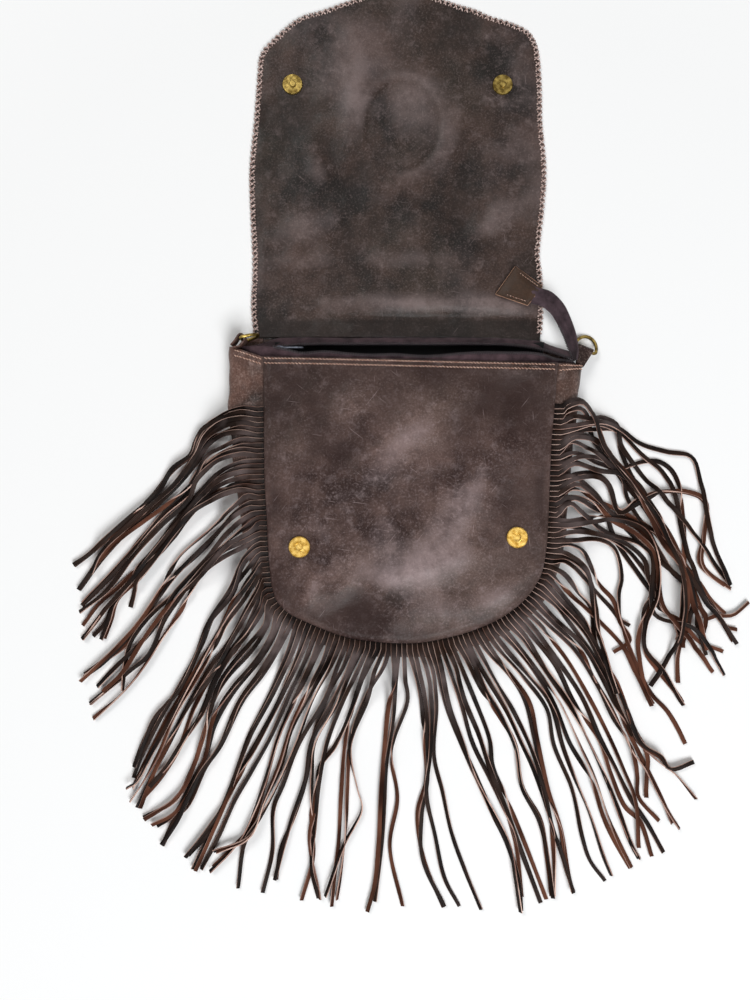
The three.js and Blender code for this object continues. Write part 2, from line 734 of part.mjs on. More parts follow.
// Strap ring and its loop: the loop is a folded strap with an eye for the ring's bar
function ringLoop() {
  const loop = [];
  const straight = ringHalf - ringCorner;
  for (const share of [-1, -0.5, 0, 0.5, 1]) {
    loop.push(new THREE.Vector3(0, share * straight, 0));
  }
  const corner = (index, sign) => {
    const angle = Math.PI - sign * index * Math.PI / 6;
    return new THREE.Vector3(
      ringCorner + ringCorner * Math.cos(angle),
      sign * straight + ringCorner * Math.sin(angle),
      0,
    );
  };
  loop.push(corner(1, 1), corner(2, 1));
  const steps = 12;
  for (let i = 0; i <= steps; i += 1) {
    const angle = Math.PI / 2 - Math.PI * i / steps;
    loop.push(new THREE.Vector3(
      ringCorner + (ringDepth - ringCorner) * Math.cos(angle),
      ringHalf * Math.sin(angle),
      0,
    ));
  }
  loop.push(corner(2, -1), corner(1, -1));
  return loop;
}

function turnTo(mesh, x, y, at) {
  const z = x.clone().cross(y);
  mesh.applyMatrix4(new THREE.Matrix4().makeBasis(x, y, z).setPosition(at));
}

function makeStrapRing(side, bar, barAxis, reachOut, loopEnd) {
  const ring = place(`d_ring_${side}`, wireRing(ringLoop(), wireRadius), antique);
  turnTo(ring, reachOut, barAxis, bar);
  const eye = wireRadius + clearance;
  const length = loopEnd.distanceTo(bar);
  const half = leather + clearance / 2;
  const outer = eye + leather;
  const bend = Math.asin(half / outer);
  const shape = new THREE.Shape();
  shape.absarc(0, 0, outer, bend, 2 * Math.PI - bend);
  shape.lineTo(length, -half);
  shape.lineTo(length, half);
  shape.closePath();
  shape.holes.push(new THREE.Path().absarc(0, 0, eye, 0, 2 * Math.PI));
  const loop = place(
    `strap_loop_${side}`,
    extruded(shape, loopWidth, 10).translate(0, 0, -loopWidth / 2),
    gussetLeather,
  );
  const along = loopEnd.clone().sub(bar);
  along.addScaledVector(barAxis, -along.dot(barAxis)).normalize();
  turnTo(loop, along, barAxis.clone().cross(along), bar);
}

function makeStrapRings() {
  const upright = new THREE.Vector3(0, 0, 1);
  const leftOut = new THREE.Vector3(18.7, 4.6, 0).normalize();
  makeStrapRing('left', ringBarLeft, upright, leftOut, loopEndLeft);
  const level = new THREE.Vector3(0.93, -0.37, 0).normalize();
  const drop = Math.asin((ringBarRight.z - wireRadius) / ringDepth);
  const rightOut = new THREE.Vector3(-level.y, level.x, 0).multiplyScalar(Math.cos(drop));
  rightOut.z = -Math.sin(drop);
  makeStrapRing('right', ringBarRight, level, rightOut, loopEndRight);
}

makeBackPanel();
makeFrontPanel();
makeGusset();
makeLining();
makeFringe();
makeFlap([acrossHinge(socketLeft), acrossHinge(socketRight)]);
for (const [side, at] of [['left', socketLeft], ['right', socketRight]]) {
  makeSocket(side, at);
  makeStud(side, acrossHinge(at));
}
makeTape('zip_tape_front', 'zip_coil_front', frontTapeRoute);
makeTape('zip_tape_rear', 'zip_coil_rear', rearTapeRoute);
makeTail();
makeEndTab();
makeSlider();
makePull();
makeStrapRings();

export default bag;
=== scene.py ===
"""A fringed leather crossbody bag, laid open on its back, seen from straight above."""

import json
import math

import bpy
import numpy as np
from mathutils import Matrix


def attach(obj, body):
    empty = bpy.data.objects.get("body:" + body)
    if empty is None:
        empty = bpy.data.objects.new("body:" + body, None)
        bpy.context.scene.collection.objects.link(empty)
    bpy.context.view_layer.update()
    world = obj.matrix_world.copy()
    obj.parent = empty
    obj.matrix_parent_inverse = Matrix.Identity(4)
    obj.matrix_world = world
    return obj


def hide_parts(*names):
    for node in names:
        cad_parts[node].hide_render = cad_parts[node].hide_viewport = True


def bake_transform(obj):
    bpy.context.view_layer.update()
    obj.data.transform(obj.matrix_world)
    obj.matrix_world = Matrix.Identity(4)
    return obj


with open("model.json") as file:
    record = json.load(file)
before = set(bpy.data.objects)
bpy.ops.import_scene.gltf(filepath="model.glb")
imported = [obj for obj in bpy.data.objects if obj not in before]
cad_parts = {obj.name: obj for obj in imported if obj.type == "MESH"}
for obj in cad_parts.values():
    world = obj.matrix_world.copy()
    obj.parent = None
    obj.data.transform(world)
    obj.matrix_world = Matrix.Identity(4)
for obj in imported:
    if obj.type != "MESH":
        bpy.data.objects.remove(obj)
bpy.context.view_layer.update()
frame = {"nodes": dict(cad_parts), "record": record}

# Lengths below are in millimetres; mesh_object turns them into metres.
MM = 0.001

LEATHER = 1.4
ZIP_STOP_X = -117
THONG_PITCH = 4.4
THONG_WIDTH = 4.0
THONG_THICKNESS = 1.1
THONG_LONGEST = 262
THONG_STEPS = 66
GUSSET_FOLD_Z = 13.5
STITCH_PITCH = 2.9
WHIP_PITCH = 4.9
STITCH_INSETS = (1.9, 6.0)
PANEL_Z = 31.0
EDGE_ROLL = 7  # how far in the front panel's edge is rounded
EDGE_DROP = 4.2
MOUTH_STITCH = (2.5, 0.47, 0.45)  # length, radius and slant
TAB_STITCH = (1.9, 0.28, 0.1)
COIL_PITCH = 1.45
TAIL_THICKNESS = 1.5
TAB_TIP_Z, TAB_ROOT_Z = 6.2, 11.8
TAB_STITCH_LIFT = 1.8
FLOOR_HALF_SIDE = 9000

# Sides of a thong, as its material tells them apart
GRAIN, SUEDE, EDGE = 0, 1, 2

# Outlines, traced once round each piece
PANEL_TOP = [(-125, 122.1), (-68.2, 121.1), (-0.3, 119.6), (67.5, 117.9), (125.2, 116.6)]
PANEL_LEFT = [
    (-125, 122.1), (-124.7, 67.8), (-124.1, 17), (-122.2, -15.3), (-120.7, -46.6), (-118.2, -72.1),
]
PANEL_BOTTOM = [
    (-118.3, -72.2), (-114.9, -83.6), (-109.8, -90.9), (-103, -96.8), (-92.8, -101.9), (-81, -107),
    (-66.5, -112.9), (-52.1, -117.2), (-36.8, -119.7), (-20.7, -121.4), (-0.3, -121.9), (11.6, -121),
    (23.5, -118.9), (42.2, -114.6), (60, -108.4), (74.5, -101.9), (86.3, -94.3), (96.5, -85.8), (105, -75.6),
]
PANEL_RIGHT = [
    (125.2, 116.6), (124.4, 98.4), (122.2, 72.1), (120.1, 46.6), (118.8, 17), (117.6, -15.3), (115.9, -41.6),
    (111.6, -62.8), (104.8, -75.5),
]
FLAP_LEFT = [
    (-135.2, 142), (-137.5, 169.4), (-136.4, 194), (-136.4, 214.2), (-138.4, 258.1), (-138.8, 290.6),
    (-135.3, 328.3), (-132.7, 361.7), (-130.9, 386.2),
]
FLAP_RIGHT = [
    (114.8, 138.7), (116.6, 169.4), (115.5, 197.5), (113.4, 217.7), (117.5, 258.1), (119.2, 290.6),
    (115.7, 331.8), (115.2, 359.9), (114, 382.7),
]
FLAP_TOP = [
    (-130.9, 386.2), (-127, 395), (-117.8, 404.7), (-109, 412.6), (-100.2, 419.6), (-89.7, 424.9),
    (-76.5, 428.4), (-49.3, 438), (-27.4, 445), (-9.8, 447.7), (9.5, 445), (30.6, 438), (42.9, 433.6),
    (57.8, 429.2), (71.8, 423.1), (89.4, 417.8), (102.5, 411.7), (108.7, 404.7), (112.2, 395), (114, 382.7),
]
BACK_LEFT = [(-131, 141.4), (-127, 60), (-122, -10), (-118.5, -45), (-114, -70)]
BACK_BOTTOM = [
    (-114, -70), (-104, -89), (-86, -103), (-60, -114), (-25, -120), (0, -121), (30, -119), (60, -111),
    (85, -98), (102, -82), (110, -68),
]
BACK_RIGHT = [(119, 137.4), (120, 60), (119, -10), (116, -42), (110, -68)]

# The lie of the fringe: each row is the way of a thong from the seam to its end, x and y in turn
THONG_WAYS = [
    (-126, 74, -146, 76, -163, 72, -179, 63, -186, 53, -192, 38, -208, 26, -223, 5, -247, -19, -280, -48,
     -293, -56),
    (-126, 67, -146, 69, -163, 65, -179, 55, -188, 39, -208, 11, -238, -18, -267, -45, -277, -64),
    (-126, 61, -146, 63, -163, 58, -177, 51, -190, 31, -214, 5, -249, -28, -271, -53, -289, -78),
    (-126, 50, -146, 51, -163, 45, -179, 38, -190, 18, -208, -3, -231, -19, -255, -37, -273, -55),
    (-126, 45, -148, 45, -169, 38, -185, 26, -194, 7, -214, -11, -236, -35, -260, -66, -287, -92),
    (-126, 38, -146, 39, -168, 32, -185, 19, -194, 0, -218, -22, -240, -48, -266, -79, -287, -98),
    (-126, 33, -146, 32, -165, 24, -183, 9, -201, -13, -223, -42, -252, -74, -271, -92, -286, -109),
    (-126, 27, -146, 26, -165, 18, -183, 4, -201, -18, -223, -46, -245, -70, -266, -96, -287, -123),
    (-126, 21, -146, 20, -168, 11, -187, -3, -208, -31, -231, -57, -253, -83, -266, -105, -278, -119),
    (-126, 15, -146, 14, -170, 7, -188, -7, -214, -39, -236, -66, -255, -88, -262, -105, -268, -121),
    (-125, 9, -146, 10, -172, 3, -192, -13, -216, -44, -231, -61, -238, -74, -246, -91),
    (-125, 3, -140, 3, -154, -7, -179, -29, -202, -51, -216, -73, -236, -105, -258, -130, -287, -158),
    (-125, -4, -140, -5, -156, -16, -183, -42, -205, -66, -223, -88, -245, -121, -266, -142, -285, -154),
    (-125, -10, -139, -12, -154, -24, -179, -48, -205, -79, -220, -105, -240, -131, -258, -147, -274, -163),
    (-125, -16, -139, -21, -158, -35, -183, -59, -205, -81, -231, -105, -246, -131, -252, -167),
    (-124, -22, -137, -28, -158, -42, -183, -66, -208, -92, -227, -118, -249, -149, -268, -166),
    (-124, -27, -142, -34, -165, -46, -187, -70, -214, -103, -227, -131, -245, -151, -279, -179),
    (-123, -33, -141, -39, -165, -52, -183, -68, -202, -96, -218, -121, -234, -151, -253, -172, -276, -193),
    (-123, -39, -136, -44, -145, -54, -155, -79, -174, -103, -183, -127, -201, -165, -220, -188, -231, -210,
     -242, -234),
    (-122, -45, -134, -51, -145, -65, -164, -89, -176, -109, -188, -136, -202, -166, -220, -194, -234, -223,
     -243, -243),
    (-121, -52, -130, -58, -140, -71, -157, -96, -170, -123, -190, -153, -208, -186, -223, -215, -236, -241,
     -244, -252),
    (-120, -59, -130, -66, -142, -85, -159, -109, -173, -131, -190, -162, -205, -193, -218, -219, -233, -245,
     -245, -266),
    (-119, -66, -127, -74, -140, -96, -155, -122, -174, -151, -192, -179, -208, -210, -223, -241, -238, -270),
    (-118, -72, -127, -84, -139, -106, -153, -129, -173, -153, -188, -182, -202, -215, -218, -241, -236, -263),
    (-115, -79, -125, -93, -139, -113, -155, -136, -170, -158, -183, -186, -196, -210, -211, -232, -227, -250),
    (-112, -87, -122, -107, -139, -130, -161, -157, -173, -179, -179, -210, -192, -241, -205, -263, -234, -279),
    (-106, -95, -116, -116, -132, -141, -155, -168, -169, -194, -177, -223, -190, -250, -205, -273, -224, -285),
    (-100, -99, -112, -124, -128, -152, -148, -177, -164, -215, -179, -236, -192, -263, -205, -282, -217, -303),
    (-93, -102, -103, -129, -121, -169, -138, -206, -150, -232, -161, -263, -176, -289, -195, -314),
    (-86, -106, -96, -133, -113, -174, -129, -206, -143, -232, -157, -258, -170, -285, -189, -324),
    (-79, -109, -90, -137, -106, -178, -124, -210, -139, -241, -153, -263, -167, -293, -183, -324),
    (-70, -112, -81, -137, -97, -169, -113, -206, -127, -250, -139, -285, -153, -305, -173, -323),
    (-65, -114, -75, -142, -91, -174, -104, -201, -115, -232, -126, -263, -139, -293, -170, -308),
    (-59, -117, -69, -144, -85, -178, -100, -214, -115, -250, -129, -276, -144, -302, -150, -339),
    (-53, -117, -62, -144, -73, -174, -96, -214, -111, -250, -119, -273, -120, -306, -125, -347),
    (-47, -118, -56, -146, -69, -174, -85, -210, -91, -245, -103, -276, -111, -306, -118, -333),
    (-42, -119, -51, -144, -64, -178, -80, -212, -85, -241, -86, -276, -84, -311, -94, -349),
    (-37, -120, -45, -144, -62, -184, -74, -214, -82, -245, -83, -285, -85, -320, -81, -348),
    (-33, -120, -41, -146, -52, -184, -65, -214, -78, -236, -83, -271, -87, -302, -79, -351),
    (-27, -121, -36, -144, -47, -174, -56, -210, -59, -254, -62, -298, -65, -328, -68, -355),
    (-23, -122, -31, -148, -36, -178, -50, -206, -52, -223, -45, -254, -43, -273, -54, -302, -74, -349),
    (-19, -122, -24, -144, -38, -176, -52, -210, -55, -254, -55, -289, -59, -324, -63, -351),
    (-15, -122, -14, -154, -19, -184, -22, -219, -24, -263, -25, -298, -30, -333, -37, -362),
    (-10, -122, -11, -154, -13, -191, -19, -232, -21, -267, -25, -306, -31, -353),
    (-5, -122, -3, -154, -1, -178, -13, -207, -15, -228, -10, -263, -15, -306, -4, -356),
    (2, -122, 7, -148, 13, -178, 15, -214, 16, -245, 10, -276, 13, -315, 30, -356),
    (7, -122, 14, -150, 19, -182, 17, -223, 16, -258, 22, -293, 31, -331, 44, -357),
    (13, -121, 21, -148, 23, -182, 22, -223, 28, -258, 37, -293, 50, -326, 64, -359),
    (19, -120, 26, -146, 35, -182, 46, -214, 58, -241, 74, -276, 88, -302, 96, -333, 96, -360),
    (24, -119, 34, -150, 46, -182, 57, -214, 69, -243, 82, -271, 94, -302, 101, -348),
    (29, -117, 39, -144, 49, -174, 60, -206, 72, -238, 86, -273, 99, -306, 115, -353),
    (34, -117, 45, -144, 57, -176, 69, -208, 77, -235, 84, -263, 104, -306, 120, -348),
    (40, -115, 50, -137, 65, -165, 79, -191, 93, -217, 100, -250, 114, -280, 122, -311, 125, -348),
    (45, -113, 55, -136, 70, -161, 85, -185, 99, -212, 111, -241, 122, -276, 126, -306, 127, -346),
    (51, -112, 64, -136, 79, -163, 93, -188, 106, -219, 115, -250, 126, -285, 134, -315, 142, -349),
    (56, -110, 70, -133, 89, -156, 106, -179, 111, -210, 120, -250, 132, -289, 137, -320, 144, -344),
    (62, -107, 77, -130, 98, -156, 119, -182, 128, -215, 142, -254, 151, -293, 158, -317, 170, -334),
    (67, -105, 84, -129, 105, -155, 125, -179, 135, -215, 146, -245, 158, -276, 169, -311, 177, -331),
    (71, -103, 89, -124, 110, -149, 128, -179, 139, -212, 158, -245, 169, -276, 180, -302, 193, -324),
    (76, -100, 94, -124, 115, -152, 134, -179, 151, -215, 165, -245, 176, -276, 186, -302, 197, -326),
    (81, -98, 100, -120, 120, -148, 139, -177, 157, -212, 172, -243, 183, -271, 192, -298, 202, -314),
    (85, -95, 105, -118, 127, -146, 146, -177, 164, -210, 178, -238, 190, -267, 204, -285, 213, -313),
    (89, -92, 108, -113, 131, -141, 151, -175, 167, -208, 179, -235, 193, -263, 209, -285, 222, -309),
    (93, -89, 113, -110, 138, -139, 158, -175, 174, -206, 188, -236, 197, -263, 202, -306),
    (96, -86, 118, -107, 144, -130, 162, -162, 178, -188, 193, -215, 200, -241, 202, -263, 219, -280),
    (99, -83, 122, -105, 148, -129, 165, -159, 180, -188, 195, -217, 209, -238, 227, -271, 238, -287),
    (103, -78, 125, -100, 152, -126, 169, -156, 183, -184, 197, -212, 211, -236, 223, -263, 232, -285),
    (105, -75, 129, -94, 153, -122, 170, -153, 185, -184, 200, -212, 215, -228, 233, -241, 251, -261),
    (109, -70, 130, -89, 155, -115, 172, -147, 185, -175, 202, -210, 220, -224, 230, -235, 250, -231),
    (111, -66, 132, -84, 155, -109, 169, -136, 183, -166, 197, -200, 209, -221, 209, -245, 206, -260),
    (113, -60, 134, -76, 152, -91, 167, -107, 186, -127, 199, -153, 211, -180),
    (114, -55, 133, -64, 148, -80, 158, -96, 164, -123, 172, -149, 183, -179, 195, -206),
    (116, -50, 133, -51, 148, -63, 167, -79, 178, -92, 185, -105, 192, -110),
    (116, -45, 134, -47, 148, -56, 158, -72, 162, -92, 164, -114, 172, -142, 181, -168),
    (116, -40, 136, -39, 152, -48, 167, -74, 178, -89, 185, -107, 192, -123, 178, -135),
    (117, -35, 139, -35, 166, -35, 181, -45, 186, -66, 184, -88, 188, -118, 206, -166, 228, -188, 241, -215,
     256, -248),
    (118, -30, 142, -27, 166, -30, 189, -39, 206, -53, 209, -66, 213, -81, 206, -98, 202, -123, 206, -166,
     212, -180),
    (118, -25, 137, -22, 164, -28, 189, -39, 202, -57, 213, -79, 220, -92, 237, -107, 255, -123, 276, -133),
    (119, -20, 137, -21, 161, -17, 180, -17, 202, -25, 215, -48, 216, -79, 207, -105, 206, -131, 221, -149,
     237, -175, 250, -197),
    (119, -14, 137, -4, 157, -19, 177, -31, 202, -39, 215, -53, 237, -70, 246, -88, 241, -109, 227, -136,
     213, -165),
    (120, -9, 142, 0, 166, -10, 189, -17, 206, -26, 218, -44, 233, -66, 246, -79, 256, -95, 260, -105,
     256, -127),
    (120, -4, 137, 2, 159, -3, 177, -17, 198, -31, 215, -48, 220, -88, 233, -109, 246, -123, 265, -150),
    (121, 1, 142, 10, 166, 0, 193, -13, 215, -26, 230, -48, 246, -66, 262, -88, 274, -109, 289, -115),
    (121, 6, 144, 14, 164, 2, 177, -10, 202, -35, 215, -53, 211, -88, 220, -103, 246, -109, 263, -131,
     279, -158, 274, -170),
    (121, 11, 142, 19, 163, 21, 177, 12, 186, -11, 202, 0, 221, 7, 246, 8, 260, -4, 258, -35, 258, -61,
     292, -85),
    (122, 16, 144, 17, 166, 0, 184, -39, 202, -66, 215, -88, 228, -101, 237, -123, 235, -140, 236, -161),
    (122, 21, 142, 29, 166, 24, 184, 23, 202, 0, 215, -22, 230, -42, 246, -74, 259, -88, 270, -101, 287, -126),
    (122, 26, 146, 36, 170, 36, 186, 19, 192, 2, 204, -19, 220, -31, 239, -57, 255, -79, 268, -96, 283, -123),
    (122, 32, 142, 33, 166, 28, 184, 26, 206, 33, 222, 34, 234, 18, 241, -13, 242, -53, 239, -92, 241, -127,
     252, -159),
    (123, 37, 144, 41, 166, 35, 183, 26, 202, 14, 215, -9, 228, -35, 244, -63, 255, -88, 260, -103, 269, -101,
     285, -102, 296, -89),
    (123, 42, 139, 51, 157, 45, 177, 30, 199, 18, 209, 0, 218, -25, 237, -53, 246, -79, 246, -105, 241, -131,
     255, -166, 267, -193, 269, -217),
    (124, 47, 144, 54, 166, 50, 177, 35, 192, 18, 206, -9, 220, -35, 239, -63, 246, -88, 255, -114, 265, -150),
    (124, 52, 142, 57, 161, 60, 183, 59, 188, 44, 193, 22, 211, 0, 221, -26, 237, -53, 255, -74, 267, -88,
     285, -105),
    (125, 57, 142, 60, 163, 65, 184, 59, 206, 39, 224, 22, 235, 0, 241, -35, 255, -79, 269, -101, 281, -123),
    (125, 62, 142, 63, 166, 66, 183, 63, 202, 49, 228, 41, 248, 37, 256, 18, 265, -26, 277, -61, 283, -74),
    (126, 67, 144, 71, 159, 71, 172, 73, 183, 65, 190, 46, 206, 22, 221, 4, 239, -18, 256, -39, 270, -60,
     283, -74),
    (126, 73, 136, 77, 148, 80, 156, 73, 164, 57, 172, 39, 193, 13, 211, -13, 223, -35, 237, -61, 240, -96,
     234, -131, 212, -165),
]


# ---- Shapes ----------------------------------------------------------------

def mesh_object(name, points, faces, sharp=None):
    mesh = bpy.data.meshes.new(name)
    mesh.from_pydata((np.asarray(points) * MM).tolist(), [], [list(f) for f in faces])
    mesh.update()
    mesh.shade_smooth()
    if sharp is not None:
        mesh.set_sharp_from_angle(angle=math.radians(sharp))
    obj = bpy.data.objects.new(name, mesh)
    bpy.context.scene.collection.objects.link(obj)
    return obj


class Pieces:
    """Points and faces of many small shapes that make one mesh."""

    def __init__(self):
        self.points = []
        self.faces = []
        self.count = 0

    def add(self, points, faces):
        self.points.append(np.asarray(points, float))
        self.faces += [[int(i) + self.count for i in f] for f in faces]
        self.count += len(points)

    def build(self, name, sharp=None):
        return mesh_object(name, np.concatenate(self.points), self.faces, sharp)


def smooth_curve(points, steps=12):
    p = np.asarray(points, float)
    p = np.vstack([2 * p[0] - p[1], p, 2 * p[-1] - p[-2]])
    t = np.linspace(0, 1, steps, endpoint=False)[:, None]
    parts = []
    for a, b, c, d in zip(p[:-3], p[1:-2], p[2:-1], p[3:]):
        bend = (2 * a - 5 * b + 4 * c - d) * t**2 + (3 * b - a - 3 * c + d) * t**3
        parts.append(0.5 * (2 * b + (c - a) * t + bend))
    parts.append(p[-2:-1])
    return np.vstack(parts)


def travel(curve):
    return np.concatenate([[0], np.cumsum(np.linalg.norm(np.diff(curve, axis=0), axis=1))])


def at_travel(curve, distances):
    way = travel(curve)
    return np.stack([np.interp(distances, way, curve[:, k]) for k in range(curve.shape[1])], -1)


def at_shares(curve, shares):
    return at_travel(curve, np.asarray(shares) * travel(curve)[-1])


def grid_faces(rows, columns, closed=False, first=0):
    r, c = np.meshgrid(np.arange(rows - 1), np.arange(columns - (0 if closed else 1)), indexing="ij")
    a = first + r * columns + c
    b = first + r * columns + (c + 1) % columns
    return np.stack([a, b, b + columns, a + columns], -1).reshape(-1, 4)


def shell_parts(top, bottom):
    rows, columns = top.shape[:2]
    n = rows * columns
    up = np.arange(1, rows) * columns + columns - 1
    back = (rows - 1) * columns + np.arange(columns - 2, -1, -1)
    down = np.arange(rows - 2, 0, -1) * columns
    ring = np.concatenate([np.arange(columns), up, back, down])
    following = np.roll(ring, -1)
    rim = np.stack([ring, ring + n, following + n, following], -1)
    faces = [grid_faces(rows, columns), grid_faces(rows, columns, first=n)[:, ::-1], rim]
    return np.concatenate([top.reshape(-1, 3), bottom.reshape(-1, 3)]), np.concatenate(faces)


def shell(name, top, bottom, sharp=None):
    """A closed sheet between two grids of points, joined round their rim."""
    return mesh_object(name, *shell_parts(top, bottom), sharp)


def grid_normals(grid):
    n = np.cross(np.gradient(grid, axis=1), np.gradient(grid, axis=0))
    return n / np.maximum(np.linalg.norm(n, axis=-1, keepdims=True), 1e-9)


def thickened(name, grid, thickness, sharp=None):
    half = grid_normals(grid) * thickness / 2
    return shell(name, grid + half, grid - half, sharp)


def patch(bottom, right, top, left, across, up):
    """A grid of points between four edges that meet at their ends."""
    b, t = at_shares(bottom, across)[None], at_shares(top, across)[None]
    l, r = at_shares(left, up)[:, None], at_shares(right, up)[:, None]
    u, v = np.asarray(across)[None, :, None], np.asarray(up)[:, None, None]
    corners = (1 - u) * (1 - v) * b[0, 0] + u * (1 - v) * b[0, -1] + (1 - u) * v * t[0, 0] + u * v * t[0, -1]
    return (1 - v) * b + v * t + (1 - u) * l + u * r - corners


def crowded(count, edge=0.35):
    """Shares from 0 to 1 that lie closer together near both ends."""
    t = np.linspace(0, 1, count)
    return t - edge * np.sin(2 * math.pi * t) / (2 * math.pi) * 2


def edge_distance(xy, outline):
    """Distance from each point to a closed or open line of points."""
    a, b = outline[:-1], outline[1:]
    d = b - a
    length = np.maximum((d * d).sum(1), 1e-9)
    flat = xy.reshape(-1, 2)
    best = np.full(len(flat), 1e9)
    for start, step, size in zip(a, d, length):
        t = np.clip(((flat - start) @ step) / size, 0, 1)
        gap = flat - start - t[:, None] * step
        best = np.minimum(best, (gap * gap).sum(1))
    return np.sqrt(best).reshape(xy.shape[:-1])


def rumple(x, y, size, seed):
    """A smooth random height from -1 to 1, with swells of about that size."""
    lattice = np.random.default_rng(seed).uniform(-1, 1, (64, 64))
    fx, fy = x / size + 200, y / size + 200
    ix, iy = np.floor(fx).astype(int), np.floor(fy).astype(int)
    u, v = fx - ix, fy - iy
    u, v = u * u * (3 - 2 * u), v * v * (3 - 2 * v)
    low = lattice[ix % 64, iy % 64] * (1 - u) + lattice[(ix + 1) % 64, iy % 64] * u
    high = lattice[ix % 64, (iy + 1) % 64] * (1 - u) + lattice[(ix + 1) % 64, (iy + 1) % 64] * u
    return low * (1 - v) + high * v


def crease(x, y, start, end, width, height):
    """A soft ridge, or a valley where height is negative, from start to end."""
    a, b = np.array(start, float), np.array(end, float)
    d = b - a
    t = np.clip(((x - a[0]) * d[0] + (y - a[1]) * d[1]) / (d @ d), 0, 1)
    gap = np.hypot(x - a[0] - t * d[0], y - a[1] - t * d[1])
    return height * np.exp(-((gap / width) ** 2)) * (0.35 + 0.65 * np.sin(math.pi * np.clip(t, 0.02, 0.98)))


def tube_parts(centres, radius, sides=6):
    centres = np.asarray(centres, float)
    along = np.gradient(centres, axis=0)
    along /= np.linalg.norm(along, axis=1, keepdims=True)
    pole = np.array([0, 0, 1.0]) if abs(along[:, 2]).mean() < 0.8 else np.array([1.0, 0, 0])
    side = np.cross(along, pole)
    side /= np.maximum(np.linalg.norm(side, axis=1, keepdims=True), 1e-9)
    rise = np.cross(side, along)
    turn = np.linspace(0, 2 * math.pi, sides, endpoint=False)
    radius = np.broadcast_to(radius, len(centres))[:, None, None]
    ring = np.cos(turn)[None, :, None] * side[:, None] + np.sin(turn)[None, :, None] * rise[:, None]
    points = (centres[:, None] + radius * ring).reshape(-1, 3)
    faces = grid_faces(len(centres), sides, closed=True).tolist()
    last = (len(centres) - 1) * sides
    faces += [list(range(sides))[::-1], list(range(last, last + sides))]
    return points, faces


# ---- Materials --------------------------------------------------------------

def shade(red, green, blue):
    """A colour given as it is seen, from 0 to 255, as the renderer needs it."""
    seen = np.array([red, green, blue]) / 255
    return (*np.where(seen < 0.04045, seen / 12.92, ((seen + 0.055) / 1.055) ** 2.4).tolist(), 1)


def node(tree, kind, inputs=(), **settings):
    made = tree.nodes.new("ShaderNode" + kind)
    for key, value in settings.items():
        setattr(made, key, value)
    for key, value in dict(inputs).items():
        if isinstance(value, bpy.types.NodeSocket):
            tree.links.new(value, made.inputs[key])
        else:
            made.inputs[key].default_value = value
    return made


def new_material(name):
    made = bpy.data.materials.new(name)
    made.use_nodes = True
    tree = made.node_tree
    return made, tree, tree.nodes["Principled BSDF"]


def noise(tree, vector, scale, detail=3, roughness=0.55):
    inputs = {"Vector": vector, "Scale": scale, "Detail": detail, "Roughness": roughness}
    return node(tree, "TexNoise", inputs).outputs["Fac"]


def ranged(tree, value, low, high, out_low=0, out_high=1):
    inputs = {"Value": value, "From Min": low, "From Max": high, "To Min": out_low, "To Max": out_high}
    return node(tree, "MapRange", inputs).outputs["Result"]


def mixed(tree, factor, first, second, kind="MIX"):
    made = node(tree, "Mix", data_type="RGBA", blend_type=kind)
    for socket, value in ((made.inputs[0], factor), (made.inputs[6], first), (made.inputs[7], second)):
        if isinstance(value, bpy.types.NodeSocket):
            tree.links.new(value, socket)
        else:
            socket.default_value = value
    return made.outputs[2]


def product(tree, first, second, operation="MULTIPLY"):
    return node(tree, "Math", {0: first, 1: second}, operation=operation).outputs[0]


def bumped(tree, height, distance, strength, below=None):
    inputs = {"Height": height, "Distance": distance, "Strength": strength}
    if below is not None:
        inputs["Normal"] = below
    return node(tree, "Bump", inputs).outputs["Normal"]


def stretched(tree, vector, turn, scale):
    turned = node(tree, "Mapping", {"Vector": vector, "Rotation": (0, 0, math.radians(turn))})
    return node(tree, "Mapping", {"Vector": turned.outputs["Vector"], "Scale": scale}).outputs["Vector"]


GREENISH = shade(48, 44, 36)


